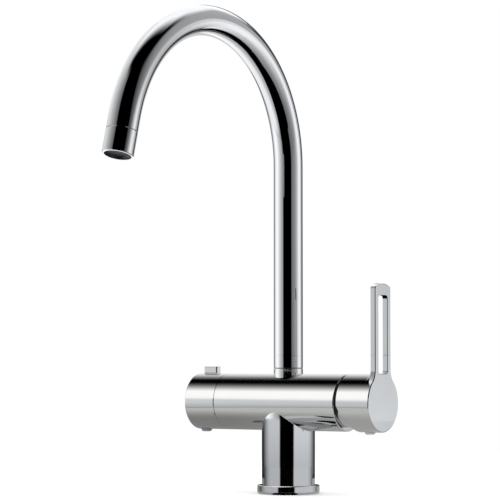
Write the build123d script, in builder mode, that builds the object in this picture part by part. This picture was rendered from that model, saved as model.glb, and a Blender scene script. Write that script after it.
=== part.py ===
"""Kitchen mixer tap: a column and a barrel in one casting, a high swivel spout, a side lever that works a
ceramic disc cartridge, and a quarter turn shut-off knob for a dishwasher.

Millimetres. The origin is the centre of the base on the worktop. +Z is up, the spout points along -Y, and the
barrel lies along X with the lever at its +X end and the shut-off knob at its -X end.
"""

import os
from math import asin, cos, degrees, radians, sin, sqrt, tan

from build123d import *

os.makedirs("parts", exist_ok=True)

# Driving dimensions of the outside
AXIS_Z = 77.0
BARREL_R = 24.0
BARREL_LEFT = -61.0
BARREL_RIGHT = 59.5
COLUMN_R = 22.5
BASE_R = 26.4
BASE_H = 7.2
SPOUT_R = 12.5
SEAM_Z = 106.0
ARCH_START_Z = 277.0
RISING_BEND_R = 110.3
RISING_BEND_ANGLE = 74.2
FALLING_BEND_R = 120.3
FALLING_BEND_ANGLE = 90.4
SPOUT_END_STRAIGHT = 11.4
AERATOR_LENGTH = 20.1
HUB_R = 24.2
HUB_START = 62.4
LEVER_FACE = 93.7
LEVER_THICKNESS = 4.8
LEVER_WIDTH = 24.4
LEVER_TOP = 99.0
KNOB_START = -61.4
KNOB_END = -91.5

# Driving dimensions of the inside
RUNNING_FIT = 0.05
FACE_GAP = 0.05
CHAMBER_SEAT = 18.0
CHAMBER_R = 17.5
NUT_BORE_R = 20.0
PIVOT_X = 46.0
STEM_SQUARE = 8.0
HOLLOW_R = 18.0
HOLLOW_ROOF = 50.0
NIPPLE_R = 9.0
NIPPLE_BOTTOM = 88.5
SPOUT_SWING = 60.0
VALVE_SEAT = -30.0
VALVE_BORE_R = 9.5
HEADWORK_R = 10.5
SPINDLE_R = 4.0


def across(x, y=0.0, z=0.0):
    """The plane square to the barrel at x, with its origin y and z off the barrel's axis."""
    return Plane(origin=(x, y, AXIS_Z + z), x_dir=(0, 1, 0), z_dir=(1, 0, 0))


def upright(angle=0.0):
    """The upright plane through the spout's axis that looks out at this angle from +X."""
    outward = (cos(radians(angle)), sin(radians(angle)), 0)
    square_to_it = (sin(radians(angle)), -cos(radians(angle)), 0)
    return Plane(origin=(0, 0, 0), x_dir=outward, z_dir=square_to_it)


def hex_spots(pitch, reach):
    """The spots of a triangular grid of this pitch that lie within reach of its middle."""
    rows = int(reach / pitch) + 2
    spots = []
    for row in range(-rows, rows + 1):
        for column in range(-rows, rows + 1):
            x = (column + row % 2 / 2) * pitch
            y = row * pitch * sqrt(3) / 2
            if x * x + y * y <= reach * reach:
                spots.append((x, y))
    return spots


BARREL_AXIS = Axis((0, 0, AXIS_Z), (1, 0, 0))
BARREL_SECTION = Plane(origin=(0, 0, AXIS_Z), x_dir=(1, 0, 0), z_dir=(0, -1, 0))

# Water ways, as y and z off the barrel's axis
HOT_PORT = (-6.5, 5.5)
COLD_PORT = (6.5, 5.5)
MIXED_PORT = (0.0, -7.0)
PORT_R = 2.8
INLET_X = 9.0
INLET_Y = 7.5
PORT_THREAD_R = 4.45
PORT_THREAD_DEPTH = 9.5
PORT_BORE_R = 3.6
INLET_TOP = 85.0
MIXED_RISER_R = 4.0
RISER_BOTTOM = 67.0
BRANCH_Y = 9.0
BRANCH_Z = -11.0
BRANCH_END = -24.0
BRANCH_LINK_X = -22.0
VALVE_INLET_R = 4.0
VALVE_INLET_END = -19.0
DISHWASHER_PORT_X = -11.0
DISHWASHER_PORT_TOP = 65.0
DISHWASHER_RUN_Z = -14.5
DISHWASHER_LINK_X = -40.0
STUD_X = -6.0
STUD_Y = 12.0
STUD_THREAD_R = 3.4
STUD_DEPTH = 11.5

# Body: the barrel, the column and the boss that carries the spout, cast as one piece and bored
COLUMN_FOOT = 2.6
SADDLE_BLEND = 0.5
BARREL_END_ROUND = 0.8
SEAM_CHAMFER = 0.25
BOSS_TOP = SEAM_Z - 0.6
THREAD_START = -46.0
NUT_SEAT = 44.0
LOCK_SCREW_Z = 91.6
LOCK_SCREW_R = 2.5
LOCK_SCREW_OUT = 18.6
LOCK_TIP_R = 1.4

with BuildPart() as body:
    with BuildSketch(across(BARREL_LEFT)):
        Circle(BARREL_R)
    extrude(amount=BARREL_RIGHT - BARREL_LEFT)
    chamfer(body.edges().sort_by(Axis.X)[0], SEAM_CHAMFER)
    fillet(body.edges().filter_by(GeomType.CIRCLE).sort_by(Axis.X)[-1], BARREL_END_ROUND)
    with BuildSketch(Plane.XY.offset(COLUMN_FOOT)):
        Circle(COLUMN_R)
    extrude(amount=AXIS_Z - COLUMN_FOOT)
    saddle = [edge for edge in body.edges() if edge.geom_type not in (GeomType.CIRCLE, GeomType.LINE)]
    fillet(saddle, SADDLE_BLEND)
    with BuildSketch(Plane.XY.offset(AXIS_Z)):
        Circle(SPOUT_R)
    extrude(amount=BOSS_TOP - AXIS_Z)
    chamfer(body.edges().filter_by(GeomType.CIRCLE).sort_by(Axis.Z)[-1], SEAM_CHAMFER)
    # The column's hollow, where the supply hoses and the fixing stud go
    with BuildSketch(Plane.XY.offset(COLUMN_FOOT)):
        Circle(HOLLOW_R)
    extrude(amount=HOLLOW_ROOF - COLUMN_FOOT, mode=Mode.SUBTRACT)
    # The cartridge's chamber and the wider bore that its nut screws into
    with BuildSketch(across(CHAMBER_SEAT)):
        Circle(CHAMBER_R)
    extrude(amount=BARREL_RIGHT - CHAMBER_SEAT, mode=Mode.SUBTRACT)
    with BuildSketch(across(NUT_SEAT)):
        Circle(NUT_BORE_R)
    extrude(amount=BARREL_RIGHT - NUT_SEAT, mode=Mode.SUBTRACT)
    # The shut-off valve's chamber and threaded mouth
    with BuildSketch(across(BARREL_LEFT)):
        Circle(VALVE_BORE_R)
    extrude(amount=VALVE_SEAT - BARREL_LEFT, mode=Mode.SUBTRACT)
    with BuildSketch(across(BARREL_LEFT)):
        Circle(HEADWORK_R)
    extrude(amount=THREAD_START - BARREL_LEFT, mode=Mode.SUBTRACT)
    # The spout's socket and the riser below it
    with BuildSketch(Plane.XY.offset(NIPPLE_BOTTOM - FACE_GAP)):
        Circle(NIPPLE_R + RUNNING_FIT)
    extrude(amount=BOSS_TOP - NIPPLE_BOTTOM + FACE_GAP, mode=Mode.SUBTRACT)
    with BuildSketch(Plane.XY.offset(RISER_BOTTOM)):
        Circle(MIXED_RISER_R)
    extrude(amount=NIPPLE_BOTTOM - RISER_BOTTOM, mode=Mode.SUBTRACT)
    # The hot and cold inlets rise from the hollow and turn towards the cartridge
    with BuildSketch(Plane.XY.offset(HOLLOW_ROOF)):
        with Locations((INLET_X, -INLET_Y), (INLET_X, INLET_Y)):
            Circle(PORT_BORE_R)
    extrude(amount=INLET_TOP - HOLLOW_ROOF, mode=Mode.SUBTRACT)
    with BuildSketch(across(INLET_X)):
        with Locations(HOT_PORT, COLD_PORT):
            Circle(PORT_R)
    extrude(amount=CHAMBER_SEAT - INLET_X, mode=Mode.SUBTRACT)
    with BuildSketch(across(0.0)):
        with Locations(MIXED_PORT):
            Circle(PORT_R)
    extrude(amount=CHAMBER_SEAT, mode=Mode.SUBTRACT)
    # The cold branch runs back past the riser and up to the shut-off valve's seat
    with BuildSketch(across(BRANCH_END)):
        with Locations((BRANCH_Y, BRANCH_Z)):
            Circle(PORT_R)
    extrude(amount=INLET_X - BRANCH_END, mode=Mode.SUBTRACT)
    with BuildSketch(Plane(origin=(BRANCH_LINK_X, 0, AXIS_Z), z_dir=(0, BRANCH_Y, BRANCH_Z))):
        Circle(PORT_R)
    extrude(amount=sqrt(BRANCH_Y**2 + BRANCH_Z**2), mode=Mode.SUBTRACT)
    with BuildSketch(across(VALVE_SEAT)):
        Circle(VALVE_INLET_R)
    extrude(amount=VALVE_INLET_END - VALVE_SEAT, mode=Mode.SUBTRACT)
    # The dishwasher's outlet runs from the valve's chamber to a threaded port in the hollow
    with BuildSketch(Plane.XY.offset(HOLLOW_ROOF)):
        with Locations((DISHWASHER_PORT_X, 0)):
            Circle(PORT_BORE_R)
    extrude(amount=DISHWASHER_PORT_TOP - HOLLOW_ROOF, mode=Mode.SUBTRACT)
    with BuildSketch(across(DISHWASHER_LINK_X)):
        with Locations((0, DISHWASHER_RUN_Z)):
            Circle(PORT_R)
    extrude(amount=DISHWASHER_PORT_X - DISHWASHER_LINK_X, mode=Mode.SUBTRACT)
    with BuildSketch(Plane.XY.offset(AXIS_Z + DISHWASHER_RUN_Z)):
        with Locations((DISHWASHER_LINK_X + PORT_R, 0)):
            Circle(PORT_R)
    extrude(amount=-DISHWASHER_RUN_Z - VALVE_BORE_R + PORT_R, mode=Mode.SUBTRACT)
    # The threaded mouths of the three ports
    with BuildSketch(Plane.XY.offset(HOLLOW_ROOF)):
        with Locations((INLET_X, -INLET_Y), (INLET_X, INLET_Y), (DISHWASHER_PORT_X, 0)):
            Circle(PORT_THREAD_R)
    extrude(amount=PORT_THREAD_DEPTH, mode=Mode.SUBTRACT)
    # Two blind threaded holes for the fixing studs
    with BuildSketch(Plane.XY.offset(HOLLOW_ROOF)):
        with Locations((STUD_X, -STUD_Y), (STUD_X, STUD_Y)):
            Circle(STUD_THREAD_R)
    extrude(amount=STUD_DEPTH, mode=Mode.SUBTRACT)
    # The threaded hole of the screw that holds the spout, at the back
    with BuildSketch(Plane(origin=(0, 0, LOCK_SCREW_Z), z_dir=(0, 1, 0))):
        Circle(LOCK_SCREW_R)
    extrude(amount=BARREL_R, mode=Mode.SUBTRACT)
body.part.label = "body"
export_step(body.part, "parts/body.step")

# Base ring: a turned ring that the column stands in, with a groove below for its gasket
BASE_TOP_ROUND = 0.7
BASE_BOTTOM_ROUND = 1.8
BASE_LEDGE_R = 19.0
GASKET_IN_R = 20.6
GASKET_OUT_R = 23.4
GASKET_H = 1.4

with BuildPart() as base_ring:
    with BuildSketch(Plane.XY):
        Circle(BASE_R)
    extrude(amount=BASE_H)
    fillet(base_ring.edges().sort_by(Axis.Z)[0], BASE_BOTTOM_ROUND)
    fillet(base_ring.edges().sort_by(Axis.Z)[-1], BASE_TOP_ROUND)
    with BuildSketch(Plane.XY):
        Circle(BASE_LEDGE_R)
    extrude(amount=BASE_H, mode=Mode.SUBTRACT)
    with BuildSketch(Plane.XY.offset(COLUMN_FOOT)):
        Circle(COLUMN_R)
    extrude(amount=BASE_H - COLUMN_FOOT, mode=Mode.SUBTRACT)
    with BuildSketch(Plane.XY):
        Circle(GASKET_OUT_R)
        Circle(GASKET_IN_R, mode=Mode.SUBTRACT)
    extrude(amount=GASKET_H, mode=Mode.SUBTRACT)
base_ring.part.label = "base_ring"
export_step(base_ring.part, "parts/base_ring.step")

with BuildPart() as base_gasket:
    with BuildSketch(Plane.XY):
        Circle(GASKET_OUT_R)
        Circle(GASKET_IN_R, mode=Mode.SUBTRACT)
    extrude(amount=GASKET_H)
base_gasket.part.label = "base_gasket"
export_step(base_gasket.part, "parts/base_gasket.step")

# Spout: a bent tube with a soldered nipple that turns in the body's socket
SPOUT_WALL = 1.3
SPOUT_BORE_R = SPOUT_R - SPOUT_WALL
NIPPLE_HEAD_TOP = 120.0
NIPPLE_BORE_R = 5.6
O_RING_CORD_R = 1.0
O_RING_LEVELS = (101.6, 97.0)
GROOVE_HALF = 1.3
O_RING_MEAN_R = NIPPLE_R + RUNNING_FIT - FACE_GAP / 2 - O_RING_CORD_R
GROOVE_FLOOR_R = O_RING_MEAN_R - O_RING_CORD_R
LOCK_GROOVE_FLOOR_R = 7.4
LOCK_GROOVE_HALF = 1.5
LOCK_STOP_MARGIN = 1.0

with BuildLine(Plane.YZ) as spout_path:
    rise = Line((0, SEAM_Z), (0, ARCH_START_Z))
    first_bend = JernArc(start=rise @ 1, tangent=rise % 1, radius=RISING_BEND_R, arc_size=RISING_BEND_ANGLE)
    second_bend = JernArc(
        start=first_bend @ 1, tangent=first_bend % 1, radius=FALLING_BEND_R, arc_size=FALLING_BEND_ANGLE
    )
    spout_end = Line(second_bend @ 1, second_bend @ 1 + (second_bend % 1) * SPOUT_END_STRAIGHT)

with BuildPart() as spout_tube:
    with BuildSketch(Plane.XY.offset(SEAM_Z)):
        Circle(SPOUT_R)
        Circle(SPOUT_BORE_R, mode=Mode.SUBTRACT)
    sweep(path=spout_path.line)
    seam_edges = spout_tube.edges().filter_by(GeomType.CIRCLE).group_by(Axis.Z)[0]
    chamfer(seam_edges.sort_by(SortBy.RADIUS)[-1], SEAM_CHAMFER)
spout_tube.part.label = "spout_tube"
export_step(spout_tube.part, "parts/spout_tube.step")

with BuildPart() as spout_nipple:
    with BuildSketch(upright()):
        with BuildLine():
            Polyline(
                (NIPPLE_BORE_R, NIPPLE_BOTTOM),
                (NIPPLE_R, NIPPLE_BOTTOM),
                (NIPPLE_R, SEAM_Z),
                (SPOUT_BORE_R, SEAM_Z),
                (SPOUT_BORE_R, NIPPLE_HEAD_TOP),
                (NIPPLE_BORE_R, NIPPLE_HEAD_TOP),
                close=True,
            )
        make_face()
    revolve(axis=Axis.Z)
    with BuildSketch(upright()):
        for level in O_RING_LEVELS:
            with Locations(((GROOVE_FLOOR_R + SPOUT_R) / 2, level)):
                Rectangle(SPOUT_R - GROOVE_FLOOR_R, 2 * GROOVE_HALF)
    revolve(axis=Axis.Z, mode=Mode.SUBTRACT)
    # The stop groove faces the back and ends where the lock screw's tip stops the swing
    lock_half_angle = SPOUT_SWING + degrees(asin(LOCK_TIP_R / LOCK_GROOVE_FLOOR_R)) + LOCK_STOP_MARGIN
    with BuildSketch(upright(90 - lock_half_angle)):
        with Locations(((LOCK_GROOVE_FLOOR_R + SPOUT_R) / 2, LOCK_SCREW_Z)):
            Rectangle(SPOUT_R - LOCK_GROOVE_FLOOR_R, 2 * LOCK_GROOVE_HALF)
    revolve(axis=Axis.Z, revolution_arc=2 * lock_half_angle, mode=Mode.SUBTRACT)
spout_nipple.part.label = "spout_nipple"
export_step(spout_nipple.part, "parts/spout_nipple.step")

with BuildPart() as spout_o_rings:
    with BuildSketch(upright()):
        for level in O_RING_LEVELS:
            with Locations((O_RING_MEAN_R, level)):
                Circle(O_RING_CORD_R)
    revolve(axis=Axis.Z)
spout_o_rings.part.label = "spout_o_rings"
export_step(spout_o_rings.part, "parts/spout_o_rings.step")

# Glide ring between the boss and the spout, and the lock screw that keeps the spout down
GLIDE_RING_R = 11.9

with BuildPart() as glide_ring:
    with BuildSketch(Plane.XY.offset(BOSS_TOP)):
        Circle(GLIDE_RING_R)
        Circle(NIPPLE_R + RUNNING_FIT, mode=Mode.SUBTRACT)
    extrude(amount=SEAM_Z - BOSS_TOP - FACE_GAP)
glide_ring.part.label = "glide_ring"
export_step(glide_ring.part, "parts/glide_ring.step")

LOCK_TIP_END = 7.6
LOCK_TIP_LENGTH = 2.6
LOCK_HEX_ACROSS = 2.5
LOCK_HEX_DEPTH = 2.5

with BuildPart() as lock_screw:
    with BuildSketch(Plane(origin=(0, LOCK_TIP_END, LOCK_SCREW_Z), z_dir=(0, 1, 0))):
        Circle(LOCK_TIP_R)
    extrude(amount=LOCK_TIP_LENGTH)
    with BuildSketch(Plane(origin=(0, LOCK_TIP_END + LOCK_TIP_LENGTH, LOCK_SCREW_Z), z_dir=(0, 1, 0))):
        Circle(LOCK_SCREW_R)
    extrude(amount=LOCK_SCREW_OUT - LOCK_TIP_END - LOCK_TIP_LENGTH)
    with BuildSketch(Plane(origin=(0, LOCK_SCREW_OUT, LOCK_SCREW_Z), z_dir=(0, 1, 0))):
        RegularPolygon(LOCK_HEX_ACROSS / 2, 6, major_radius=False)
    extrude(amount=-LOCK_HEX_DEPTH, mode=Mode.SUBTRACT)
lock_screw.part.label = "lock_screw"
export_step(lock_screw.part, "parts/lock_screw.step")

# Aerator: a chromed housing screwed into the spout's end, with a gasket, a jet cage and a screen
HOUSING_BORE_R = 10.7
HOUSING_RIM_ROUND = 0.6
SHADOW_GAP = 0.8
SHADOW_GAP_DEPTH = 1.2
SPIGOT_LENGTH = 7.0
SPIGOT_BORE_R = 8.6
SHOULDER_AT = 7.0
AERATOR_GASKET_H = 1.5
CAGE_R = 10.6
CAGE_RECESS = 2.4
CAGE_FLOOR_H = 1.6
CAGE_WALL = 1.2
CAGE_HOLE_R = 0.62
CAGE_HOLE_PITCH = 1.85
SCREEN_H = 0.8
SCREEN_HOLE_R = 0.8
SCREEN_PITCH = 2.6


def along_tip(distance):
    """The plane square to the spout's end at a distance past the seam of the aerator's housing."""
    return Plane(origin=(spout_end @ 1) + (spout_end % 1) * distance, z_dir=spout_end % 1)


with BuildPart() as aerator_housing:
    with BuildSketch(along_tip(0)):
        Circle(SPOUT_R)
    extrude(amount=AERATOR_LENGTH)
    fillet(aerator_housing.edges().filter_by(GeomType.CIRCLE).sort_by(Axis.Z)[0], HOUSING_RIM_ROUND)
    # The shadow gap at the seam
    with BuildSketch(along_tip(0)):
        Circle(SPOUT_R)
        Circle(SPOUT_R - SHADOW_GAP_DEPTH, mode=Mode.SUBTRACT)
    extrude(amount=SHADOW_GAP, mode=Mode.SUBTRACT)
    with BuildSketch(along_tip(-SPIGOT_LENGTH)):
        Circle(SPOUT_BORE_R)
    extrude(amount=SPIGOT_LENGTH)
    with BuildSketch(along_tip(-SPIGOT_LENGTH)):
        Circle(SPIGOT_BORE_R)
    extrude(amount=SPIGOT_LENGTH + SHOULDER_AT, mode=Mode.SUBTRACT)
    with BuildSketch(along_tip(SHOULDER_AT)):
        Circle(HOUSING_BORE_R)
    extrude(amount=AERATOR_LENGTH - SHOULDER_AT, mode=Mode.SUBTRACT)
aerator_housing.part.label = "aerator_housing"
export_step(aerator_housing.part, "parts/aerator_housing.step")

with BuildPart() as aerator_gasket:
    with BuildSketch(along_tip(SHOULDER_AT)):
        Circle(CAGE_R)
        Circle(SPIGOT_BORE_R, mode=Mode.SUBTRACT)
    extrude(amount=AERATOR_GASKET_H)
aerator_gasket.part.label = "aerator_gasket"
export_step(aerator_gasket.part, "parts/aerator_gasket.step")

with BuildPart() as aerator_screen:
    with BuildSketch(along_tip(SHOULDER_AT + AERATOR_GASKET_H)):
        Circle(CAGE_R)
        with Locations(*hex_spots(SCREEN_PITCH, CAGE_R - CAGE_WALL - SCREEN_HOLE_R)):
            Circle(SCREEN_HOLE_R, mode=Mode.SUBTRACT)
    extrude(amount=SCREEN_H)
aerator_screen.part.label = "aerator_screen"
export_step(aerator_screen.part, "parts/aerator_screen.step")

CAGE_TOP = SHOULDER_AT + AERATOR_GASKET_H + SCREEN_H
CAGE_BOTTOM = AERATOR_LENGTH - CAGE_RECESS

with BuildPart() as aerator_cage:
    with BuildSketch(along_tip(CAGE_TOP)):
        Circle(CAGE_R)
    extrude(amount=CAGE_BOTTOM - CAGE_TOP)
    with BuildSketch(along_tip(CAGE_TOP)):
        Circle(CAGE_R - CAGE_WALL)
    extrude(amount=CAGE_BOTTOM - CAGE_TOP - CAGE_FLOOR_H, mode=Mode.SUBTRACT)
    with BuildSketch(along_tip(CAGE_BOTTOM - CAGE_FLOOR_H)):
        with Locations(*hex_spots(CAGE_HOLE_PITCH, CAGE_R - CAGE_WALL - CAGE_HOLE_R)):
            Circle(CAGE_HOLE_R)
    extrude(amount=CAGE_FLOOR_H, mode=Mode.SUBTRACT)
aerator_cage.part.label = "aerator_cage"
export_step(aerator_cage.part, "parts/aerator_cage.step")

# Cartridge base: a plastic plate with three ports, a seal pocket round each, and a rim round the fixed disc
BASE_PLATE_END = 24.0
CARTRIDGE_R = CHAMBER_R - 0.1
SEAL_OUT_R = 4.4
SEAL_POCKET_DEPTH = 1.5
DISC_R = 13.0
RIM_R = 14.6
RIM_H = 3.0
DISC_END = 28.0

with BuildPart() as cartridge_base:
    with BuildSketch(across(CHAMBER_SEAT)):
        Circle(CARTRIDGE_R)
        with Locations(HOT_PORT, COLD_PORT, MIXED_PORT):
            Circle(PORT_R, mode=Mode.SUBTRACT)
    extrude(amount=BASE_PLATE_END - CHAMBER_SEAT)
    with BuildSketch(across(CHAMBER_SEAT)):
        with Locations(HOT_PORT, COLD_PORT, MIXED_PORT):
            Circle(SEAL_OUT_R)
    extrude(amount=SEAL_POCKET_DEPTH, mode=Mode.SUBTRACT)
    with BuildSketch(across(BASE_PLATE_END)):
        Circle(RIM_R)
        Circle(DISC_R, mode=Mode.SUBTRACT)
    extrude(amount=RIM_H)
cartridge_base.part.label = "cartridge_base"
export_step(cartridge_base.part, "parts/cartridge_base.step")

with BuildPart() as port_seals:
    with BuildSketch(across(CHAMBER_SEAT)):
        with Locations(HOT_PORT, COLD_PORT, MIXED_PORT):
            Circle(SEAL_OUT_R)
            Circle(PORT_R, mode=Mode.SUBTRACT)
    extrude(amount=SEAL_POCKET_DEPTH)
port_seals.part.label = "port_seals"
export_step(port_seals.part, "parts/port_seals.step")

with BuildPart() as fixed_disc:
    with BuildSketch(across(BASE_PLATE_END)):
        Circle(DISC_R)
        with Locations(HOT_PORT, COLD_PORT, MIXED_PORT):
            Circle(PORT_R, mode=Mode.SUBTRACT)
    extrude(amount=DISC_END - BASE_PLATE_END)
fixed_disc.part.label = "fixed_disc"
export_step(fixed_disc.part, "parts/fixed_disc.step")

# Moving disc and its carrier: they slide up as the lever tilts and turn with the rotor
MOVING_DISC_R = 11.5
MOVING_DISC_Z = -2.5
MOVING_DISC_END = 30.6
RECESS_R = 6.3
RECESS_Z = -5.2
RECESS_DEPTH = 1.2
CARRIER_END = 36.4
CARRIER_FLAT = 10.0
BALL_X = 34.2
BALL_R = 3.3
POCKET_FIT = 0.1
POCKET_FLOOR = 30.8
POCKET_FLARE = 0.8

with BuildPart() as moving_disc:
    with BuildSketch(across(DISC_END + FACE_GAP, z=MOVING_DISC_Z)):
        Circle(MOVING_DISC_R)
    extrude(amount=MOVING_DISC_END - DISC_END - FACE_GAP)
    with BuildSketch(across(DISC_END, z=RECESS_Z)):
        Circle(RECESS_R)
    extrude(amount=RECESS_DEPTH, mode=Mode.SUBTRACT)
moving_disc.part.label = "moving_disc"
export_step(moving_disc.part, "parts/moving_disc.step")

with BuildPart() as disc_carrier:
    with BuildSketch(across(MOVING_DISC_END, z=MOVING_DISC_Z)):
        Circle(MOVING_DISC_R)
        Rectangle(2 * CARRIER_FLAT, 2 * MOVING_DISC_R, mode=Mode.INTERSECT)
    extrude(amount=CARRIER_END - MOVING_DISC_END)
    with BuildSketch(across(POCKET_FLOOR)):
        Circle(BALL_R + POCKET_FIT)
    extrude(amount=CARRIER_END - POCKET_FLOOR, mode=Mode.SUBTRACT)
    outer_circles = disc_carrier.edges().filter_by(GeomType.CIRCLE).group_by(Axis.X)[-1]
    chamfer(outer_circles.sort_by(SortBy.RADIUS)[0], POCKET_FLARE)
disc_carrier.part.label = "disc_carrier"
export_step(disc_carrier.part, "parts/disc_carrier.step")

# Cartridge housing: the plastic cup that holds the rotor, pressed down by the nut
CAVITY_R = 15.0
CAVITY_END = 40.3
HOUSING_SHOULDER = 46.0
HOUSING_END = 52.0
NECK_BORE_R = 12.05

with BuildPart() as cartridge_housing:
    with BuildSketch(across(BASE_PLATE_END)):
        Circle(CARTRIDGE_R)
    extrude(amount=HOUSING_SHOULDER - BASE_PLATE_END)
    with BuildSketch(across(HOUSING_SHOULDER)):
        Circle(CAVITY_R)
    extrude(amount=HOUSING_END - HOUSING_SHOULDER)
    with BuildSketch(across(BASE_PLATE_END)):
        Circle(CAVITY_R)
    extrude(amount=CAVITY_END - BASE_PLATE_END, mode=Mode.SUBTRACT)
    with BuildSketch(across(BASE_PLATE_END)):
        Circle(NECK_BORE_R)
    extrude(amount=HOUSING_END - BASE_PLATE_END, mode=Mode.SUBTRACT)
cartridge_housing.part.label = "cartridge_housing"
export_step(cartridge_housing.part, "parts/cartridge_housing.step")

# Rotor: turns in the housing's neck, carries the stem's pin, and drives the carrier with two cheeks
ROTOR_FLANGE_START = 36.6
ROTOR_FLANGE_END = 40.2
ROTOR_FLANGE_R = 14.9
ROTOR_END = 54.0
CHEEK_START = 32.2
CHEEK_INNER = CARRIER_FLAT + 0.1
SLOT_WIDTH = STEM_SQUARE + 0.2
SLOT_HALF_HEIGHT = 9.2
PIN_R = 2.0
PIN_LENGTH = 22.0

with BuildPart() as cartridge_rotor:
    with BuildSketch(across(ROTOR_FLANGE_START)):
        Circle(ROTOR_FLANGE_R)
    extrude(amount=ROTOR_FLANGE_END - ROTOR_FLANGE_START)
    with BuildSketch(across(ROTOR_FLANGE_END)):
        Circle(NECK_BORE_R - RUNNING_FIT)
    extrude(amount=ROTOR_END - ROTOR_FLANGE_END)
    with BuildSketch(across(CHEEK_START)):
        Circle(ROTOR_FLANGE_R)
        Rectangle(2 * CHEEK_INNER, 2 * ROTOR_FLANGE_R, mode=Mode.SUBTRACT)
    extrude(amount=ROTOR_FLANGE_START - CHEEK_START)
    with BuildSketch(across(ROTOR_FLANGE_START)):
        Rectangle(SLOT_WIDTH, 2 * SLOT_HALF_HEIGHT)
    extrude(amount=ROTOR_END - ROTOR_FLANGE_START, mode=Mode.SUBTRACT)
    with BuildSketch(Plane(origin=(PIVOT_X, -ROTOR_FLANGE_R, AXIS_Z), z_dir=(0, 1, 0))):
        Circle(PIN_R)
    extrude(amount=2 * ROTOR_FLANGE_R, mode=Mode.SUBTRACT)
cartridge_rotor.part.label = "cartridge_rotor"
export_step(cartridge_rotor.part, "parts/cartridge_rotor.step")

with BuildPart() as stem_pin:
    with BuildSketch(Plane(origin=(PIVOT_X, -PIN_LENGTH / 2, AXIS_Z), z_dir=(0, 1, 0))):
        Circle(PIN_R)
    extrude(amount=PIN_LENGTH)
stem_pin.part.label = "stem_pin"
export_step(stem_pin.part, "parts/stem_pin.step")

# Lever stem: a square bar with a ball at its inner end and an eye for the pin
STEM_END = 84.0
STEM_SQUARE_START = 39.4
STEM_ROD_R = 2.4
STEM_EDGE_CHAMFER = 0.5

with BuildPart() as lever_stem:
    with BuildSketch(across(STEM_SQUARE_START)):
        Rectangle(STEM_SQUARE, STEM_SQUARE)
    extrude(amount=STEM_END - STEM_SQUARE_START)
    chamfer(lever_stem.faces().sort_by(Axis.X)[-1].edges(), STEM_EDGE_CHAMFER)
    with BuildSketch(across(BALL_X)):
        Circle(STEM_ROD_R)
    extrude(amount=STEM_SQUARE_START - BALL_X)
    with BuildSketch(BARREL_SECTION):
        with Locations((BALL_X, 0)):
            Circle(BALL_R)
            with Locations((0, -BALL_R)):
                Rectangle(2 * BALL_R, 2 * BALL_R, mode=Mode.SUBTRACT)
    revolve(axis=BARREL_AXIS)
    with BuildSketch(Plane(origin=(PIVOT_X, -STEM_SQUARE, AXIS_Z), z_dir=(0, 1, 0))):
        Circle(PIN_R + RUNNING_FIT)
    extrude(amount=2 * STEM_SQUARE, mode=Mode.SUBTRACT)
lever_stem.part.label = "lever_stem"
export_step(lever_stem.part, "parts/lever_stem.step")

# Retaining nut: a hexagon ring that clamps the cartridge
NUT_FLANGE_END = 50.5
NUT_END = 54.0
NUT_BORE = 15.2
NUT_ACROSS = 34.0
THREAD_FIT = 0.05

with BuildPart() as retaining_nut:
    with BuildSketch(across(HOUSING_SHOULDER)):
        Circle(NUT_BORE_R - THREAD_FIT)
    extrude(amount=NUT_FLANGE_END - HOUSING_SHOULDER)
    with BuildSketch(across(NUT_FLANGE_END)):
        RegularPolygon(NUT_ACROSS / 2, 6, major_radius=False)
    extrude(amount=NUT_END - NUT_FLANGE_END)
    with BuildSketch(across(HOUSING_SHOULDER)):
        Circle(NUT_BORE)
    extrude(amount=NUT_END - HOUSING_SHOULDER, mode=Mode.SUBTRACT)
retaining_nut.part.label = "retaining_nut"
export_step(retaining_nut.part, "parts/retaining_nut.step")

# Cover ring: the chromed dome seen in the gap behind the lever, a sphere about the lever's pivot
COVER_R = 20.6
COVER_SPHERE_R = 25.6
COVER_END = 66.0
COVER_SPIGOT_START = 54.4
COVER_SPIGOT_BORE = 17.6
COVER_HOLE_R = 14.6
COVER_STEP = 62.0
COVER_SPHERE_AT_RIM = PIVOT_X + sqrt(COVER_SPHERE_R**2 - COVER_R**2)
COVER_SPHERE_AT_END = sqrt(COVER_SPHERE_R**2 - (COVER_END - PIVOT_X) ** 2)
COVER_ARC_MIDDLE = (asin(COVER_R / COVER_SPHERE_R) + asin(COVER_SPHERE_AT_END / COVER_SPHERE_R)) / 2

with BuildPart() as cover_ring:
    with BuildSketch(BARREL_SECTION):
        with BuildLine():
            Polyline(
                (COVER_END, COVER_SPHERE_AT_END),
                (COVER_END, COVER_HOLE_R),
                (COVER_STEP, COVER_HOLE_R),
                (COVER_STEP - COVER_SPIGOT_BORE + COVER_HOLE_R, COVER_SPIGOT_BORE),
                (COVER_SPIGOT_START, COVER_SPIGOT_BORE),
                (COVER_SPIGOT_START, NUT_BORE_R - THREAD_FIT),
                (BARREL_RIGHT, NUT_BORE_R - THREAD_FIT),
                (BARREL_RIGHT, COVER_R),
                (COVER_SPHERE_AT_RIM, COVER_R),
            )
            ThreePointArc(
                (COVER_SPHERE_AT_RIM, COVER_R),
                (
                    PIVOT_X + COVER_SPHERE_R * cos(COVER_ARC_MIDDLE),
                    COVER_SPHERE_R * sin(COVER_ARC_MIDDLE),
                ),
                (COVER_END, COVER_SPHERE_AT_END),
            )
        make_face()
    revolve(axis=BARREL_AXIS)
cover_ring.part.label = "cover_ring"
export_step(cover_ring.part, "parts/cover_ring.step")

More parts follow.
